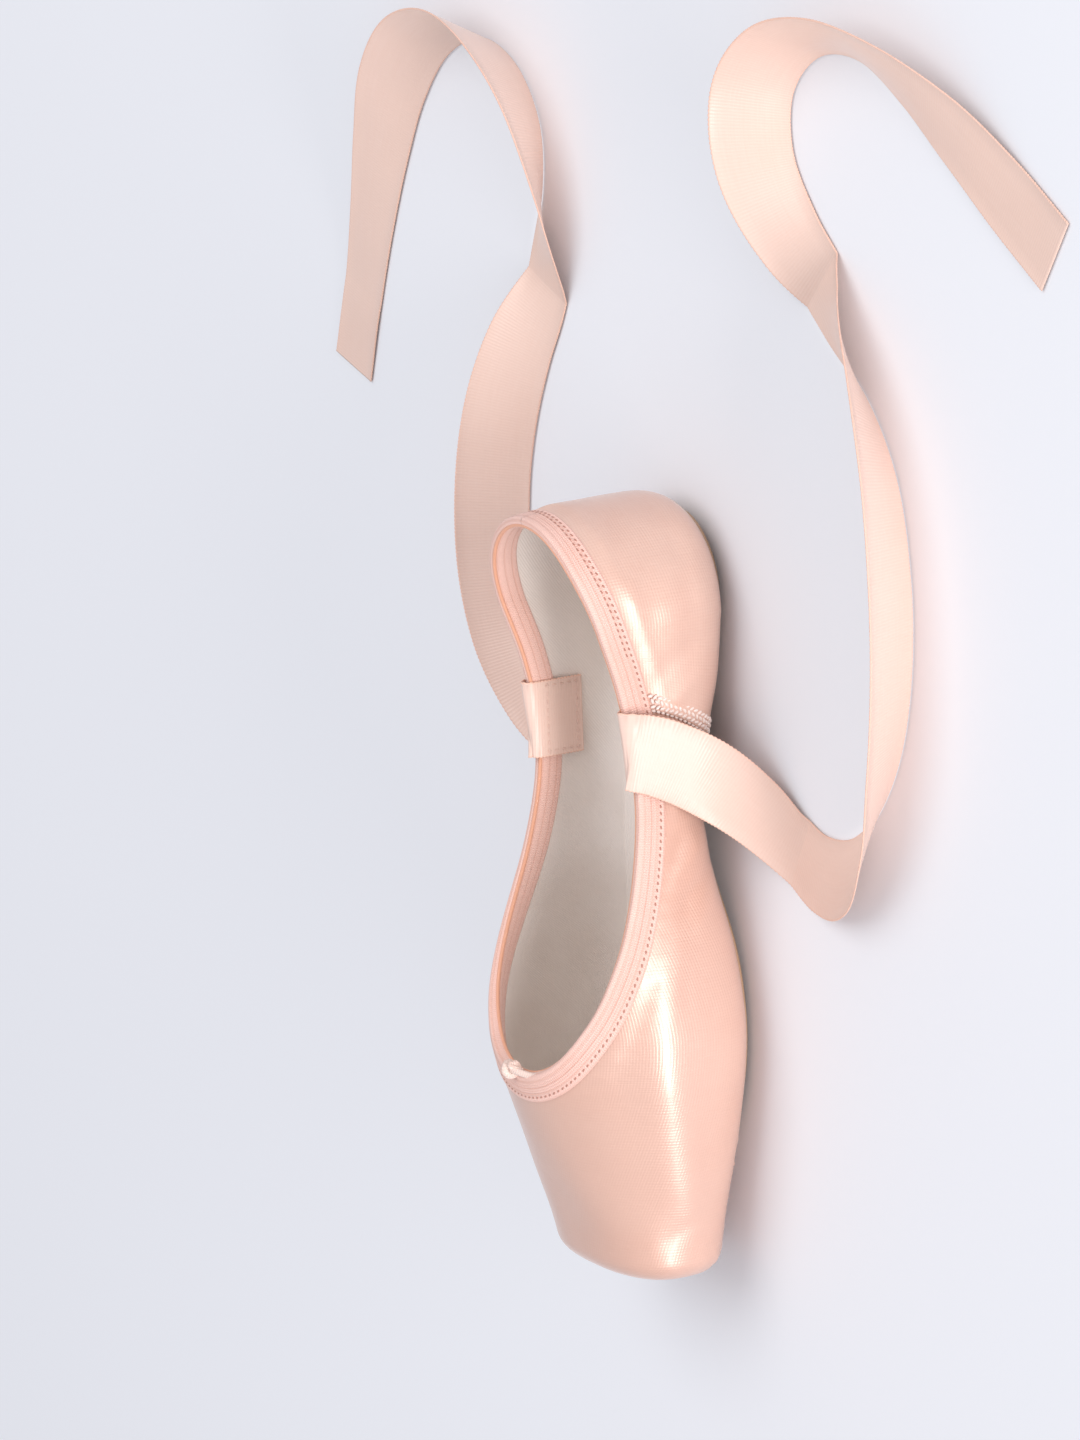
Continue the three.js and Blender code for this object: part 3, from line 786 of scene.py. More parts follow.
def thread_finish(name, colour, roughness=0.42):
    """Twisted thread."""
    thread = Finish(name, Specular_IOR_Level=0.5, Sheen_Weight=0.15, Coat_Weight=0.1)
    fibres = thread.stretched(thread.place(), (3500, 3500, 3500))
    darker = tuple(part * 0.8 for part in colour)
    thread.set(Base_Color=thread.mix(fibres, colour, darker), Roughness=roughness + (fibres - 0.5) * 0.2)
    thread.set(Normal=thread.bump(fibres, 0.00005, 0.5))
    return thread.material


# Stitches.
def stitch_tree():
    """Geometry nodes that lay small capsule stitches along a line, turned to its normals."""
    tree = bpy.data.node_groups.new("lay_stitches", "GeometryNodeTree")
    face = tree.interface
    face.new_socket("Geometry", in_out="INPUT", socket_type="NodeSocketGeometry")
    defaults = {
        "Pitch": 0.0025, "Length": 0.0018, "Thickness": 0.0004, "Height": 0.0003,
        "Slant": 0.0, "Zigzag": 0.0,
    }
    for name, default in defaults.items():
        face.new_socket(name, in_out="INPUT", socket_type="NodeSocketFloat").default_value = default
    face.new_socket("Thread", in_out="INPUT", socket_type="NodeSocketMaterial")
    face.new_socket("Geometry", in_out="OUTPUT", socket_type="NodeSocketGeometry")
    nodes, links = tree.nodes, tree.links

    def add(kind, options=None, values=None):
        node = nodes.new(kind)
        for name, value in (options or {}).items():
            setattr(node, name, value)
        for name, value in (values or {}).items():
            if isinstance(value, bpy.types.NodeSocket):
                links.new(value, node.inputs[name])
            else:
                node.inputs[name].default_value = value
        return node

    given = add("NodeGroupInput").outputs
    line = add("GeometryNodeMeshToCurve", None, {"Mesh": given["Geometry"]}).outputs[0]
    spaced = add("GeometryNodeResampleCurve", {"mode": "LENGTH"}, {"Curve": line, "Length": given["Pitch"]})
    normal = add("GeometryNodeInputNamedAttribute", {"data_type": "FLOAT_VECTOR"}, {"Name": "outward"})
    bead = add("GeometryNodeMeshUVSphere", None, {"Segments": 8, "Rings": 6, "Radius": 0.5})
    size = add("ShaderNodeCombineXYZ", None, {
        "X": given["Length"], "Y": given["Thickness"], "Z": given["Height"],
    })
    capsule = add("GeometryNodeTransform", None, {"Geometry": bead.outputs[0], "Scale": size.outputs[0]})
    tangent = add("GeometryNodeInputTangent")
    facing = add("FunctionNodeAlignRotationToVector", {"axis": "X"}, {"Vector": tangent.outputs[0]})
    upright = add("FunctionNodeAlignRotationToVector", {"axis": "Z", "pivot_axis": "X"}, {
        "Rotation": facing.outputs[0], "Vector": normal.outputs[0],
    })
    index = add("GeometryNodeInputIndex")
    parity = add("ShaderNodeMath", {"operation": "MODULO"}, {0: index.outputs[0], 1: 2.0})
    swing = add("ShaderNodeMath", {"operation": "MULTIPLY_ADD"}, {0: parity.outputs[0], 1: 2.0, 2: -1.0})
    zig = add("ShaderNodeMath", {"operation": "MULTIPLY_ADD"}, {
        0: swing.outputs[0], 1: given["Zigzag"], 2: given["Slant"],
    })
    lean = add("FunctionNodeAxisAngleToRotation", None, {"Axis": (0, 0, 1), "Angle": zig.outputs[0]})
    turned = add("FunctionNodeRotateRotation", {"rotation_space": "LOCAL"}, {
        "Rotation": upright.outputs[0], "Rotate By": lean.outputs[0],
    })
    laid = add("GeometryNodeInstanceOnPoints", None, {
        "Points": spaced.outputs[0], "Instance": capsule.outputs[0], "Rotation": turned.outputs[0],
    })
    real = add("GeometryNodeRealizeInstances", None, {"Geometry": laid.outputs[0]})
    coated = add("GeometryNodeSetMaterial", None, {"Geometry": real.outputs[0], "Material": given["Thread"]})
    result = add("NodeGroupOutput")
    links.new(coated.outputs[0], result.inputs[0])
    return tree


def lay_stitches(name, lines, thread, **sizes):
    """A plain mesh of stitches along lines, each a pair of points and outward directions in metres.

    A third item says whether the line is closed."""
    tree = bpy.data.node_groups.get("lay_stitches") or stitch_tree()
    points, normals, edges, first = [], [], [], 0
    for line, directions, closed in lines:
        count = len(line)
        points.append(line)
        normals.append(directions)
        edges += [(first + i, first + (i + 1) % count) for i in range(count if closed else count - 1)]
        first += count
    mesh = bpy.data.meshes.new(name)
    mesh.from_pydata([tuple(p) for p in np.vstack(points)], edges, [])
    mesh.attributes.new("outward", "FLOAT_VECTOR", "POINT").data.foreach_set(
        "vector", np.vstack(normals).astype(np.float32).ravel()
    )
    piece = bpy.data.objects.new(name, mesh)
    bpy.context.scene.collection.objects.link(piece)
    modifier = piece.modifiers.new("stitches", "NODES")
    modifier.node_group = tree
    given = {**{key.capitalize(): value for key, value in sizes.items()}, "Thread": thread}
    for socket in tree.interface.items_tree:
        if socket.in_out == "INPUT" and socket.name in given:
            modifier[socket.identifier] = given[socket.name]
    graph = bpy.context.evaluated_depsgraph_get()
    graph.update()
    plain = bpy.data.meshes.new_from_object(
        piece.evaluated_get(graph), preserve_all_data_layers=True, depsgraph=graph
    )
    piece.modifiers.remove(modifier)
    piece.data = plain
    if not len(plain.polygons):
        raise RuntimeError(f"{name}: no stitches were laid")
    plain.materials.clear()
    plain.materials.append(thread)
    plain.shade_smooth()
    return piece


def ride(piece, slot_name, *replaced):
    """Joins a piece to the shoe's one body."""
    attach(piece, ROOT)
    if replaced:
        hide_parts(*replaced)
    return piece


# Stage.
LOOK_CENTRE = Vector((0.045, 0.0, 0.025))
LOOK_TURN = math.radians(18)
LOOK_RISE = math.radians(30)
LOOK_ROLL = math.radians(-101)
LOOK_DISTANCE = 1.7
LOOK_ACROSS, LOOK_UP = -0.0236, 0.0889
FRAME_HEIGHT = 0.4
SENSOR = 24.0
FLOOR_REACH = 9.0
# Name, direction, distance, length and height, power and colour.
LIGHTS = (
    ("key", (0.16, 1.0, 0.12), 1.9, (2.0, 0.30), 29, (1.0, 0.97, 0.97)),
    ("fill", (-0.6, 0.1, 1.0), 2.6, (2.2, 2.2), 30, (1.0, 0.985, 0.98)),
)
SKY_COLOUR = (0.925, 0.94, 1.0, 1)
SKY_STRENGTH = 0.65


def camera_axes():
    """The camera's right, up and backward directions."""
    back = Vector((
        -math.sin(LOOK_TURN) * math.cos(LOOK_RISE),
        math.cos(LOOK_TURN) * math.cos(LOOK_RISE),
        math.sin(LOOK_RISE),
    ))
    level = Vector((0, 0, 1)).cross(back).normalized()
    above = back.cross(level)
    right = math.cos(LOOK_ROLL) * level + math.sin(LOOK_ROLL) * above
    up = -math.sin(LOOK_ROLL) * level + math.cos(LOOK_ROLL) * above
    return right, up, back


def make_camera():
    right, up, back = camera_axes()
    data = bpy.data.cameras.new("camera")
    data.sensor_fit = "VERTICAL"
    data.sensor_height = SENSOR
    data.lens = SENSOR * LOOK_DISTANCE / FRAME_HEIGHT
    data.clip_start, data.clip_end = 0.05, 60
    camera = bpy.data.objects.new("camera", data)
    target = LOOK_CENTRE + LOOK_ACROSS * right + LOOK_UP * up
    place = LOOK_CENTRE + LOOK_DISTANCE * back
    behind = (place - target).normalized()
    side = up.cross(behind).normalized()
    top = behind.cross(side)
    turn = Matrix((side, top, behind)).transposed()
    camera.matrix_world = Matrix.Translation(place) @ turn.to_4x4()
    bpy.context.scene.collection.objects.link(camera)
    bpy.context.scene.camera = camera


def add_light(name, direction, distance, size, power, colour):
    """A soft light, size[0] long and size[1] high, that faces the shoe from a direction."""
    data = bpy.data.lights.new(name, "AREA")
    data.shape = "RECTANGLE"
    data.size, data.size_y = size
    data.energy = power
    data.color = colour
    light = bpy.data.objects.new(name, data)
    back = Vector(direction).normalized()
    light.location = Vector((0.0, 0.0, 0.03)) + back * distance
    light.rotation_mode = "QUATERNION"
    light.rotation_quaternion = back.to_track_quat("Z", "Y")
    bpy.context.scene.collection.objects.link(light)


class SHOE_OT_stage(bpy.types.Operator):
    """Makes the camera, the floor and the soft studio light"""

    bl_idname = "shoe.stage"
    bl_label = "Stage"

    def execute(self, context):
        make_camera()
        paint = Finish("floor_paint", Specular_IOR_Level=0.2)
        cloudy = paint.noise(paint.place(), 3.0, 2.0)
        colour = tuple(settings().floor_colour)
        paint.set(
            Base_Color=paint.mix(cloudy * 0.4, colour, tuple(part * 0.97 for part in colour)),
            Roughness=0.7 + (cloudy - 0.5) * 0.06,
        )
        low = CAD_BOUNDS[0][2]
        corners = [
            (x * FLOOR_REACH, y * FLOOR_REACH, low) for x, y in ((-1, -1), (1, -1), (1, 1), (-1, 1))
        ]
        floor = make_piece("floor", corners, [(0, 1, 2, 3)], paint.material, smooth=False)
        for light in LIGHTS:
            add_light(*light)
        world = bpy.data.worlds.new("studio")
        world.use_nodes = True
        sky = world.node_tree.nodes["Background"]
        sky.inputs["Color"].default_value = SKY_COLOUR
        sky.inputs["Strength"].default_value = SKY_STRENGTH
        context.scene.world = world
        context.scene.view_settings.view_transform = "Standard"
        return {"FINISHED"}


# Ribbons.
def ribbon_line(rows, count):
    """Centre line, width direction and face direction of a ribbon, in metres."""
    t = np.linspace(0, 1, count)
    centre = spline(rows[:, :3], t)
    delta = 1e-4
    ahead, behind = np.clip(t + delta, 0, 1), np.clip(t - delta, 0, 1)
    along = unit(spline(rows[:, :3], ahead) - spline(rows[:, :3], behind))
    across = spline(rows[:, 3:], t)
    across = unit(across - along * (across * along).sum(1)[:, None])
    face = unit(np.cross(along, across))
    half = 0.5 * settings().ribbon_width
    lift = np.abs(across[:, 2]) * half + np.abs(face[:, 2]) * CAD_RIBBON_THICKNESS / 2 + RIBBON_LIFT
    centre[:, 2] = np.maximum(centre[:, 2], lift)
    return centre, across, face


def make_ribbon(name, rows, node, finish):
    """A satin ribbon with woven picot edges, laid along its route."""
    steps = RIBBON_STEPS
    centre, across, face = ribbon_line(rows, steps)
    run = run_lengths(centre)
    half, thin = settings().ribbon_width / 2, settings().ribbon_thickness / 2
    shape = np.array([
        (-1.0, 0.2), (-0.985, 1.3), (-0.955, 1.4), (-0.93, 1.0), (-0.6, 1.0), (-0.2, 1.0), (0.2, 1.0),
        (0.6, 1.0), (0.93, 1.0), (0.955, 1.4), (0.985, 1.3), (1.0, 0.2),
    ])
    ring = np.vstack([shape, shape[::-1] * (1, -1)])
    picot = 0.00012 * (1 + np.sin(run * math.tau / 0.0011))
    edge = np.abs(ring[:, 0]) > 0.95
    width = (ring[:, 0] * half)[None, :] - np.where(edge, np.sign(ring[:, 0]), 0)[None, :] * picot[:, None]
    thick = (ring[:, 1] * thin)[None, :] + np.zeros((steps, 1))
    sway = 0.00010 * np.sin(run * math.tau / 0.031) * np.sin(run * math.tau / 0.083 + 1)
    bow = (1 - ring[:, 0] ** 2)[None, :] * sway[:, None] * smooth_step(run, 0.03, 0.06)[:, None]
    points = (
        centre[:, None, :] + across[:, None, :] * width[:, :, None]
        + face[:, None, :] * (thick + bow)[:, :, None]
    )
    weave = np.stack([run[:, None] + 0 * width, width + half], axis=-1)
    piece = swept(name, points, finish, weave, closed=False)
    ride(piece, "ribbon_satin", node)


def ribbon_finish():
    """Ribbon satin: long floats, fine picks across them and a darker woven border."""
    ribbon = Finish(
        "ribbon_satin", Specular_IOR_Level=0.45, Coat_Weight=0.10, Coat_Roughness=0.3,
        Sheen_Weight=0.15, Sheen_Roughness=0.4, Sheen_Tint=(1.0, 0.95, 0.92),
    )
    pair, along, across = ribbon.weave()
    width = settings().ribbon_width
    floats = ribbon.stretched(pair, (60, 1500, 1))
    picks = along.wave(0.00085)
    clouds = ribbon.noise(ribbon.place(), 22, 2.0)
    border = (across / width - 0.5).size().step(0.462, 0.492)
    tint = floats * 0.5 + clouds.step(0.35, 0.7) * 0.25 + picks * 0.10
    colour = tuple(settings().ribbon_colour)
    body = ribbon.mix(tint, colour, (colour[0] * 0.93, colour[1] * 0.86, colour[2] * 0.82))
    ribbon.set(
        Base_Color=ribbon.mix(border * 0.65, body, (0.84, 0.50, 0.37)),
        Roughness=0.34 + (floats - 0.5) * 0.1 + border * 0.2,
    )
    ribbon.set(Normal=ribbon.bump(floats * 0.6 + picks * 0.3 * (1 + border), 0.00007, 0.8))
    return ribbon.material


class SHOE_OT_ribbons(bpy.types.Operator):
    """Makes both ribbons and the stitches that hold them inside the shoe"""

    bl_idname = "shoe.ribbons"
    bl_label = "Ribbons"

    def execute(self, context):
        finish = ribbon_finish()
        make_ribbon("ribbon_outer", OUTER_RIBBON, "ribbon_outer_side", finish)
        make_ribbon("ribbon_inner", INNER_RIBBON, "ribbon_inner_side", finish)
        thread = thread_finish("ribbon_thread", (0.86, 0.60, 0.50))
        lines = []
        for rows in (OUTER_RIBBON, INNER_RIBBON):
            centre, across, face = ribbon_line(rows, 400)
            inward = -np.sign(rows[0, 1])
            keep = (centre[:, 2] > 0.0225) & (centre[:, 2] < 0.033) & (run_lengths(centre) < 0.016)
            column = centre[keep]
            toward = np.tile((0, inward, 0), (len(column), 1)).astype(float)
            facing = face[keep] * np.sign((face[keep] * toward).sum(1))[:, None]
            for side in (-TAB_SEAM, TAB_SEAM):
                lines.append((column + across[keep] * side + facing * 0.0003, facing, False))
            for end in (0, -1):
                sides = np.linspace(-TAB_SEAM, TAB_SEAM, 20)[:, None]
                row = column[end] + across[keep][end] * sides + facing[end] * 0.0003
                lines.append((row, np.tile(facing[end], (20, 1)), False))
        tabs = lay_stitches(
            "ribbon_tab_stitches", lines, thread, pitch=0.0022, length=0.0015,
            thickness=0.0004, height=0.0004,
        )
        ride(tabs, "ribbon_satin")
        return {"FINISHED"}


# The upper.
def side_columns():
    """x and turn of the columns down one side, from the platform's edge to the middle of the heel."""
    edge = np.radians(np.linspace(90, 0, 13))
    body = np.r_[
        SHOE_LENGTH - PLATFORM_EDGE + PLATFORM_EDGE * np.sin(edge),
        np.arange(209, 160, -1.1), np.arange(160, 141, -0.45), np.arange(141, HEEL_AXIS, -1.15), HEEL_AXIS,
    ]
    turn = np.radians(np.linspace(90, 0, 32))[1:]
    return np.r_[body, np.full(len(turn), HEEL_AXIS)], np.r_[np.full(len(body), math.pi / 2), turn]


def whole_skin(count):
    """Columns right round the shoe, up to the skin's top edge, with the platform's face."""
    x, turn = side_columns()
    side = cut_columns(x, turn, count, stop=lambda line: RIM_DEPTH - below_collar(line))
    crown = 0.35
    caps = []
    for share in np.linspace(0, 1, 12)[:-1]:
        flat = side[0] * (1, share, 1)
        flat[:, 0] += crown * (1 - share**2) * np.sin(np.linspace(0, math.pi, count))
        caps.append(flat)
    half = np.concatenate([np.array(caps), side])
    return np.concatenate([half, half[-2:0:-1] * (1, -1, 1)])


def skin_normals(grid):
    """Outward directions on the skin, square to the platform's face on the cap."""
    points = grid.reshape(-1, 3)
    inside = points.copy()
    inside[:, 0] = np.minimum(inside[:, 0], SHOE_LENGTH - 0.02)
    normal = outward(inside)
    cap = smooth_step(points[:, 0], SHOE_LENGTH - 0.3, SHOE_LENGTH)[:, None]
    return unit(normal * (1 - cap) + np.array([1.0, 0, 0]) * cap).reshape(grid.shape)


def raised(grid, height):
    """A grid moved along the skin's normals by a height, or by one height a point."""
    height = np.broadcast_to(height, grid.shape[:2])
    return grid + skin_normals(grid) * height[..., None]


class SHOE_OT_upper(bpy.types.Operator):
    """Makes the satin upper and its cotton lining"""

    bl_idname = "shoe.upper"
    bl_label = "Upper"

    def execute(self, context):
        colours = settings()
        satin = satin_finish("satin", tuple(colours.satin_colour), tuple(colours.satin_shade))
        skin, backing = whole_skin(84), whole_skin(30)
        relief = satin_relief(skin.reshape(-1, 3)).reshape(skin.shape[:2])
        upper = shell(
            "satin_upper", raised(skin, relief), raised(backing, -SATIN_BACK), satin, closed=True,
            weave=(weave_map(skin), weave_map(backing)),
        )
        ride(upper, "satin", "upper")
        drill = drill_finish("cotton_drill", tuple(colours.lining_colour), (0.80, 0.71, 0.64))
        inner = whole_skin(60)
        lining = shell(
            "cotton_lining", raised(backing, -LINING_FACE),
            raised(inner, -wall_at(inner[..., 0])), drill, closed=True,
            weave=(weave_map(backing), weave_map(inner)),
        )
        ride(lining, "lining")
        seams = []
        for side in (1, -1):
            route = np.array([
                (168, 27.5, 4.2), (178, 27.2, 5.4), (188, 25.6, 6.6), (197, 23.0, 7.6), (204, 20.0, 8.6),
                (208.5, 16.0, 9.4), (210.5, 10, 9.6), (211, 4, 9.6), (211, 0, 9.6),
            ]) * (1, side, 1)
            seam = evenly(settle(spline(route, np.linspace(0, 1, 300))), 240)
            normal = outward(seam)
            relief = satin_relief(seam)[:, None]
            seams.append((placed(seam + normal * (relief + 0.05)), normal, False))
        thread = thread_finish("seam_thread", (0.72, 0.43, 0.32))
        seam = lay_stitches(
            "toe_seam_stitches", seams, thread, pitch=colours.seam_pitch, length=0.0016,
            thickness=0.0005, height=0.0003, zigzag=0.35,
        )
        ride(seam, "satin")
        return {"FINISHED"}


# The binding.
def loop_frames():
    """Points round the collar with the directions out of the skin and away from the rim."""
    line = collar_loop(RIM_DEPTH, COLLAR_POINTS)
    along = unit(np.roll(line, -1, axis=0) - np.roll(line, 1, axis=0))
    normal = outward(line)
    away = unit(np.cross(along, normal))
    if away[0, 2] > 0:
        away = -away
    return line, normal, away


def casing_section():
    """The casing's outline: distance below the rim and height over the skin, from the outer edge in."""
    ribs = []
    for depth in np.linspace(6.1, 1.3, 25):
        ribs.append((depth, 0.42 + 1000 * settings().rib_depth * math.sin(depth * math.tau / 0.8)))
    outer = [(8.15, 0.06), (8.1, 0.34), (7.85, 0.55), (7.45, 0.60), (7.05, 0.52), (6.75, 0.34), (6.4, 0.36)]
    top = [(0.75, 0.36), (0.3, 0.05), (0.08, -0.5), (0.0, -1.05), (0.12, -1.6), (0.5, -2.1)]
    inner = [(1.2, -2.35), (2.6, -2.4), (4.2, -2.4), (5.8, -2.4), (7.2, -2.35), (7.7, -2.2)]
    back = [(7.6, -1.4), (6.5, -0.9), (7.6, -0.3)]
    return np.array(outer + ribs + top + inner + back)


class SHOE_OT_binding(bpy.types.Operator):
    """Makes the stretch binding round the opening, with its rows of stitches"""

    bl_idname = "shoe.binding"
    bl_label = "Binding"

    def execute(self, context):
        colours = settings()
        knit = knit_finish("binding_knit", tuple(colours.knit_colour), (0.80, 0.455, 0.36))
        count = COLLAR_POINTS
        line, _, away = loop_frames()
        section = casing_section()
        rings = []
        for depth, height in section:
            foot = settle(line + away * (depth - RIM_DEPTH))
            inside = np.clip(-height - QUARTER_WALL * 0.5, 0, 1)
            extra = (wall_at(line[:, 0]) - QUARTER_WALL) * inside
            rings.append(foot + outward(foot) * (height - extra)[:, None])
        rings = np.stack(rings, axis=1)
        run = run_lengths(np.vstack([line, line[:1]]))[:-1]
        weave = np.stack([
            run[:, None] + np.zeros((count, len(section))),
            np.cumsum(np.r_[0, np.linalg.norm(np.diff(section, axis=0), axis=1)])[None, :]
            + np.zeros((count, 1)),
        ], axis=-1) * MM
        binding = swept("stretch_binding", placed(rings), knit, weave)
        ride(binding, "binding_knit", "binding")
        # The binding's stitches are real thread; their dark brown colour is painted shade of the needle
        # holes that they sit in.
        thread = thread_finish("binding_thread", (0.50, 0.23, 0.17))
        rows = []
        heel = np.flatnonzero(np.roll(line, count // 2, axis=0)[:, 0] < 38)
        for depth, part, closed in ((6.72, slice(None), True), (5.5, heel - count // 2, False)):
            foot = settle(line[part] + away[part] * (depth - RIM_DEPTH))
            rows.append((placed(foot + outward(foot) * 0.42), outward(foot), closed))
        row = lay_stitches(
            "binding_stitches", rows, thread, pitch=colours.binding_pitch, length=0.0011,
            thickness=0.0006, height=0.0003, slant=0.35,
        )
        ride(row, "binding_knit")
        # A cord inside the rim along the lining's edge, coloured deep orange: the colour is painted shade on
        # the lining's cream edge.
        rim_shade_thread = thread_finish("rim_edge", (0.85, 0.42, 0.27), 0.6)
        foot = settle(line + away * (0.75 - RIM_DEPTH))
        sunk = 1.95 + wall_at(foot[:, 0]) - QUARTER_WALL
        radius = 0.55
        cord = np.stack([
            foot + outward(foot) * (radius * math.sin(turn) - sunk)[:, None]
            + away * (radius * math.cos(turn) - 0.25)
            for turn in np.linspace(0, math.tau, 9)[:-1]
        ], axis=1)
        edge = swept("rim_lining_edge", placed(cord), rim_shade_thread)
        ride(edge, "binding_knit")
        return {"FINISHED"}


# The heel panel.
def panel_front(points):
    """How far points lie in front of the heel panel's edge, in side view."""
    edge = spline(HEEL_PANEL_FRONT, np.linspace(0, 1, 200))
    order = np.argsort(edge[:, 1])
    return points[:, 0] - np.interp(points[:, 2], edge[order, 1], edge[order, 0])


def front_line(setback, count, tuck):
    """The line on the last a distance behind the heel panel's front edge, up to tuck below the rim."""
    edge = spline(HEEL_PANEL_FRONT, np.linspace(0, 1, 400))
    tangent = unit(np.gradient(edge, axis=0))
    edge = edge + np.column_stack([-tangent[:, 1], tangent[:, 0]]) * setback
    half, wide, lows, high, low_square, high_square = section_at(edge[:, 0])
    below = edge[:, 1] < wide
    square = np.where(below, low_square, high_square)
    height = np.where(below, wide - lows, high - wide)
    share = np.clip(np.abs(edge[:, 1] - wide) / height, 0, 1)
    y = half * (1 - share**square) ** (1 / square)
    line = np.column_stack([edge[:, 0], y, edge[:, 1]])
    outline = read_table(OUTSOLE_OUTLINE, line[:, 0])[:, 0]
    keep = (below_collar(line) > tuck) & (line[:, 1] > outline + 0.4) & (share < 1)
    return evenly(line[keep], count)


class SHOE_OT_heel_panel(bpy.types.Operator):
    """Makes the satin panel that wraps the heel, and the braid of stitches at its front edge"""

    bl_idname = "shoe.heel_panel"
    bl_label = "Heel panel"

    def execute(self, context):
        colours = settings()
        # The heel panel's satin colour is a lighter copy of the upper's satin: the extra brightness is
        # painted sheen, as the panel is cut from the same satin.
        satin = satin_finish(
            "heel_satin", (0.81, 0.56, 0.455), tuple(colours.satin_shade), roughness=0.42
        )
        levels = 60
        back = panel_columns(np.radians(np.linspace(0, 90, 36))[::-1], levels)
        grid = np.concatenate([panel_side(levels), back[1:]])
        grid = np.concatenate([grid, grid[-2::-1] * (1, -1, 1)])
        flat = grid.reshape(-1, 3)
        relief = crease_height(flat, HEEL_CREASES) + 0.10 * wave_noise(flat, 17, 8)
        puckers = np.sin(np.arctan2(flat[:, 1], 34 - flat[:, 0]) * 34)
        puckers *= 0.05 * np.exp(-(((below_collar(flat) - 9.5) / 3) ** 2))
        edge = smooth_step(-panel_front(flat), 0.2, 5)
        sole = smooth_step(flat[:, 2], 4, 9)
        tucked = smooth_step(below_collar(flat), 7.7, 13)
        stand = (PANEL_STAND + (relief + puckers) * edge * sole) * tucked
        height = (PANEL_EDGE_HEIGHT + stand).reshape(grid.shape[:2])
        panel = shell(
            "heel_panel_satin", raised(grid, height), raised(grid, PANEL_BACK), satin,
            weave=(weave_map(grid), weave_map(grid)),
        )
        ride(panel, "heel_satin", "heel_panel")
        self.braid()
        return {"FINISHED"}

    def braid(self):
        """Three rows of braid behind the panel's edge, and the edge's own scallops and thread."""
        pale = thread_finish("braid_thread", (0.97, 0.82, 0.75), 0.28)
        deep = thread_finish("scallop_thread", (0.78, 0.36, 0.20), 0.5)
        pitch, edge_pitch = settings().braid_pitch, 0.0015
        braid = {"pitch": pitch, "length": 0.0018, "thickness": 0.0009, "height": 0.0009, "zigzag": 0.22}
        # Name, distance behind the panel's edge and height over the last in mm, thread and stitch.
        rows = [
            (f"heel_braid_{number}", setback, 0.98, pale, {**braid, "slant": slant})
            for number, (setback, slant) in enumerate(((1.0, 0.7), (2.35, -0.7), (3.7, 0.7)))
        ]
        rows.append(("heel_edge_scallops", -0.15, 0.55, pale, {
            "pitch": edge_pitch, "length": 0.0013, "thickness": 0.0010, "height": 0.0009,
        }))
        rows.append(("heel_edge_thread", -0.45, 0.22, deep, {
            "pitch": edge_pitch, "length": 0.0008, "thickness": 0.0007, "height": 0.0005, "slant": 0.3,
        }))
        for name, setback, height, thread, stitch in rows:
            ride(lay_stitches(name, self.both_sides(setback, height), thread, **stitch), "heel_satin")

    @staticmethod
    def both_sides(setback, height):
        """The panel's front edge on each side, a distance behind it and over the last."""
        line = front_line(setback, 160, BRAID_TOP)
        lines = []
        for side in (1, -1):
            here = line * (1, side, 1)
            normal = outward(here)
            lines.append((placed(here + normal * height), normal, False))
        return lines


def outside_outline(points, outline, gap):
    """Above 0 where points lie outside an outline seen from above, by more than a gap."""
    x = points[:, 0]
    within = np.clip(x, outline[0, 0], outline[-1, 0])
    half = np.maximum(read_table(outline, within)[:, 0], 0)
    return np.abs(points[:, 1]) - half + np.abs(x - within) - gap


def panel_columns(turns, levels):
    """The heel panel's columns at turns about the heel's axis, from the outsole up to the binding."""
    return cut_columns(
        np.full(len(turns), HEEL_AXIS), turns, levels,
        start=lambda line: outside_outline(line, OUTSOLE_OUTLINE, PANEL_GAP),
        stop=lambda line: PANEL_TOP - below_collar(line),
    )


def panel_side(levels):
    """The heel panel's columns along one side, from its front edge back to the heel's axis."""
    front = front_line(0, levels, PANEL_TOP)
    last = panel_columns(np.array([math.pi / 2]), levels)[0]
    return np.array([
        settle(front * (1 - share) + last * share) for share in np.linspace(0, 1, 46)
    ])


# The soles.
def sole_plate(name, outline, low, high, finish, inside):
    """A plate on the last's underside, between two heights along its normals, with round edges."""
    rows, across = 160, 34
    run = 0.5 - 0.5 * np.cos(np.linspace(0, math.pi, rows))
    x = outline[0, 0] + (outline[-1, 0] - outline[0, 0]) * run
    half = smooth_outline(outline, x)
    share = np.sin(np.linspace(-1, 1, across) * math.pi / 2)
    grid = np.zeros((rows, across, 3))
    grid[..., 0] = x[:, None]
    grid[..., 1] = half[:, None] * share[None, :]
    grid[..., 2] = underside(grid.reshape(-1, 3)).reshape(rows, across)
    normal = outward(grid.reshape(-1, 3)).reshape(grid.shape)
    edge = (1 - np.abs(share))[None, :] * half[:, None]
    ends = np.minimum(x - outline[0, 0], outline[-1, 0] - x)[:, None]
    margin = np.minimum(edge, ends)
    bevel = 0.7 * (1 - np.clip(margin / 1.6, 0, 1)) ** 2
    channel = 0 if inside else 0.30 * np.exp(-(((margin - 4.2) / 0.45) ** 2))
    sign = -1 if inside else 1
    showing = sign * (high - bevel - channel)
    hidden = sign * low
    outer = grid + normal * showing[..., None]
    inner = grid + normal * hidden
    return shell(name, outer, inner, finish, weave=(weave_map(grid), weave_map(grid)))


def smooth_outline(outline, x):
    """An outline's half width at x, with its two ends rounded."""
    ring = np.vstack([outline, outline[-2:0:-1] * (1, -1)])
    wrapped = np.vstack([ring[-3:], ring, ring[:3]])
    last = len(wrapped) - 1
    line = spline(wrapped, np.linspace(3 / last, (len(ring) + 3) / last, 900))
    upper = line[line[:, 1] >= 0]
    order = np.argsort(upper[:, 0])
    return np.interp(x, upper[order, 0], upper[order, 1], left=0, right=0)


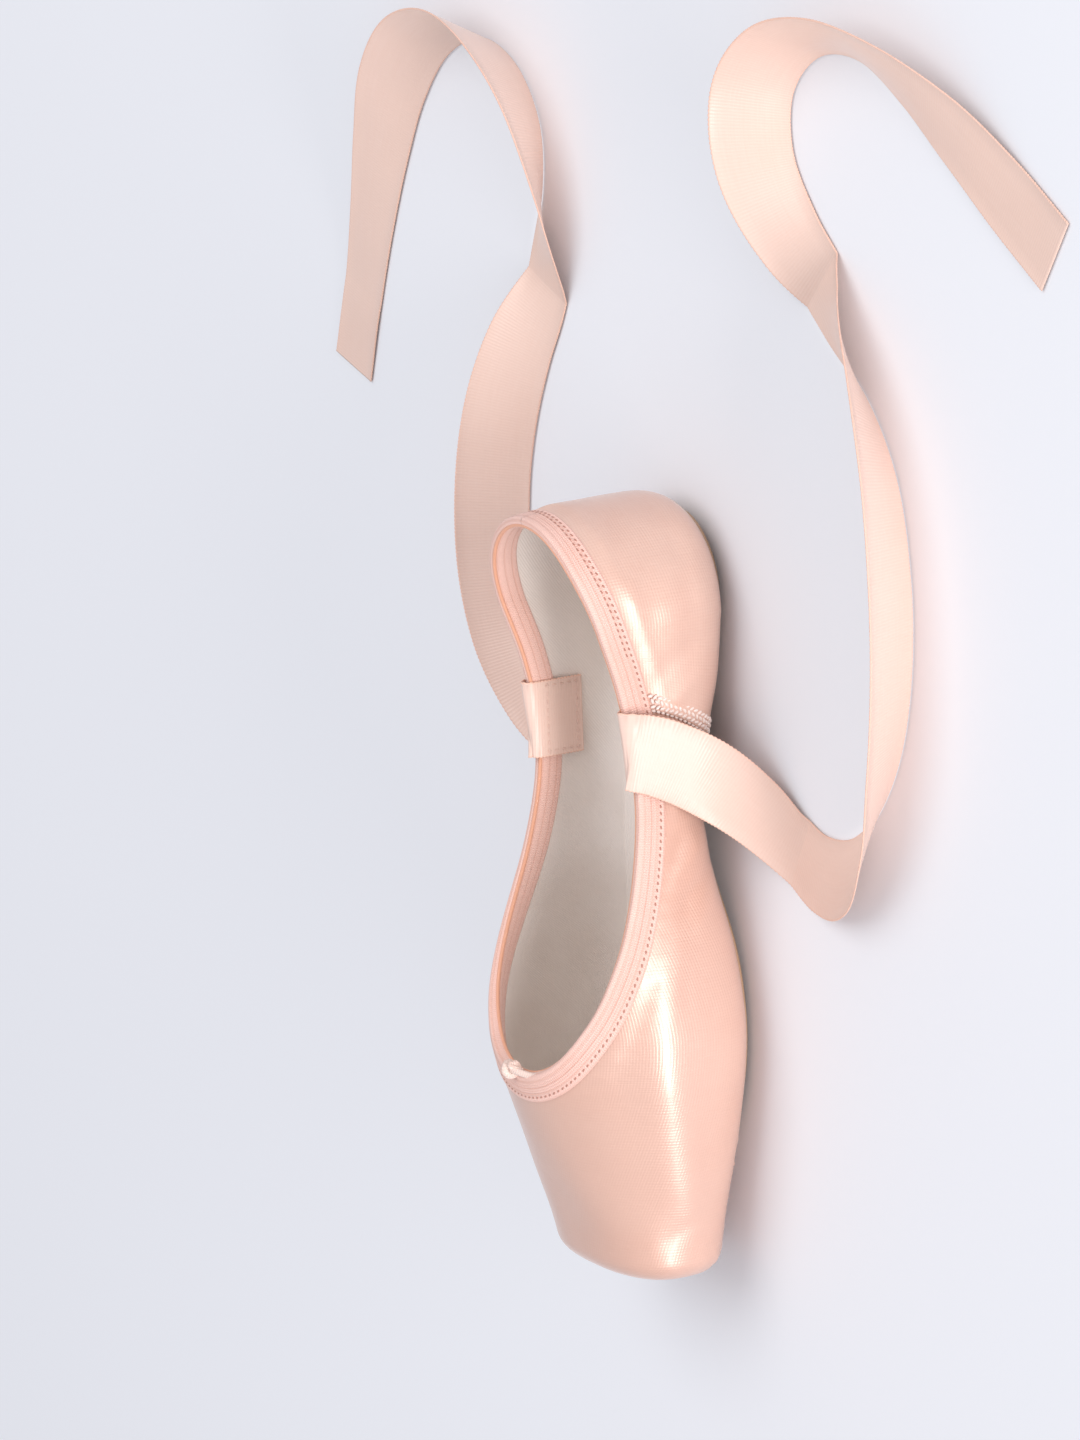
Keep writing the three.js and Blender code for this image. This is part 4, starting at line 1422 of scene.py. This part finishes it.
def underside(points):
    """Height of the last's underside below each point."""
    x, y, _ = points.T
    half, wide, low, _, square, _ = section_at(x)
    reach = np.minimum(np.hypot(y / half, np.maximum(HEEL_AXIS - x, 0) / HEEL_BACK), 0.9999)
    return wide - (wide - low) * (1 - reach**square) ** (1 / square)


class SHOE_OT_soles(bpy.types.Operator):
    """Makes the leather outsole and the sock lining inside"""

    bl_idname = "shoe.soles"
    bl_label = "Soles"

    def execute(self, context):
        colours = settings()
        leather = leather_finish("sole_leather", tuple(colours.leather_colour), (0.36, 0.225, 0.14))
        outsole = sole_plate("leather_outsole", OUTSOLE_OUTLINE, 0.12, 2.0, leather, False)
        ride(outsole, "outsole_leather", "outsole")
        cloth = drill_finish("sock_cloth", (0.90, 0.83, 0.77), (0.80, 0.72, 0.65))
        sock = sole_plate("sock_lining", SOCK_OUTLINE, 1.75, 3.3, cloth, True)
        ride(sock, "lining", "insole")
        return {"FINISHED"}


# The drawstring.
def tube_rings(line, radius, around, flat):
    """Rings of a flattened cord along a line, turned as little as the line lets them."""
    along = unit(np.gradient(line, axis=0))
    side = np.cross(along[0], (0.35, 0, 1))
    sides = []
    for way in along:
        side = unit(side - way * (side @ way))
        sides.append(side)
    sides = np.array(sides)
    tops = np.cross(sides, along)
    turns = np.linspace(0, math.tau, around, endpoint=False)
    return np.stack([
        line + sides * radius * math.cos(turn) + tops * radius * flat * math.sin(turn) for turn in turns
    ], axis=1)


class SHOE_OT_drawstring(bpy.types.Operator):
    """Makes the elastic drawstring's short run across the throat and the wrap that knots it"""

    bl_idname = "shoe.drawstring"
    bl_label = "Drawstring"

    def execute(self, context):
        elastic = knit_finish("elastic", (0.88, 0.70, 0.62), (0.78, 0.54, 0.45))
        line, normal, away = loop_frames()
        throat = np.argmax(line[:, 0])
        near = np.arange(throat - 60, throat + 61)
        order = near[np.argsort(line[near, 1])]

        def at_rim(sideways, back, up):
            """A point beside the throat's rim, from its distances sideways, rearward and outward."""
            place, forward, out = (
                np.array([np.interp(sideways, line[order, 1], part[order, k]) for k in range(3)])
                for part in (line, away, normal)
            )
            return place - forward * (RIM_DEPTH + back) + out * up

        run = [
            (-11, -1.6, -1.2), (-7.5, -0.6, -0.8), (-4.6, 0.6, -0.1), (-2.2, 1.5, 0.5), (0, 1.8, 0.7),
            (2.2, 1.5, 0.5), (4.6, 0.6, -0.1), (7.5, -0.6, -0.8), (11, -1.6, -1.2),
        ]
        wrap = [(-2.6, 0.9, -1.2)]
        for number in range(8):
            turn = math.radians(60 * number - 40)
            wrap.append((0.45 * number - 1.5, 1.7 + 1.75 * math.cos(turn), 0.65 + 1.75 * math.sin(turn)))
        wrap.append((2.8, 0.8, -1.0))
        for name, route, replaced in (
            ("drawstring_knot", run, ["drawstring"]), ("drawstring_wrap", wrap, []),
        ):
            points = np.array([at_rim(*step) for step in route])
            count = 14 * len(route)
            centre = evenly(spline(points, np.linspace(0, 1, 500)), count)
            rings = placed(tube_rings(centre, 1.15, 12, 0.7))
            weave = np.stack([
                (run_lengths(centre) * MM)[:, None] + np.zeros((1, 12)),
                np.linspace(0, 0.005, 12)[None, :] + np.zeros((count, 1)),
            ], axis=-1)
            ride(swept(name, rings, elastic, weave, closed=False), "drawstring_elastic", *replaced)
        return {"FINISHED"}


class SHOE_PT_panel(bpy.types.Panel):
    """Lists the shoe's settings and its pieces"""

    bl_idname = "SHOE_PT_panel"
    bl_label = "Pointe Shoe"
    bl_space_type = "VIEW_3D"
    bl_region_type = "UI"
    bl_category = "Pointe Shoe"

    def draw(self, context):
        for name in ShoeSettings.__annotations__:
            self.layout.prop(context.scene.pointe_shoe, name)
        for operator in OPERATORS:
            self.layout.operator(operator.bl_idname)


OPERATORS = (
    SHOE_OT_stage, SHOE_OT_ribbons, SHOE_OT_upper, SHOE_OT_binding, SHOE_OT_heel_panel,
    SHOE_OT_soles, SHOE_OT_drawstring,
)


def register():
    for item in (ShoeSettings, *OPERATORS, SHOE_PT_panel):
        bpy.utils.register_class(item)
    bpy.types.Scene.pointe_shoe = PointerProperty(type=ShoeSettings)


def unregister():
    del bpy.types.Scene.pointe_shoe
    for item in reversed((ShoeSettings, *OPERATORS, SHOE_PT_panel)):
        bpy.utils.unregister_class(item)


def main():
    register()
    for operator in OPERATORS:
        group, name = operator.bl_idname.split(".")
        getattr(getattr(bpy.ops, group), name)()


if __name__ == "__main__":
    main()
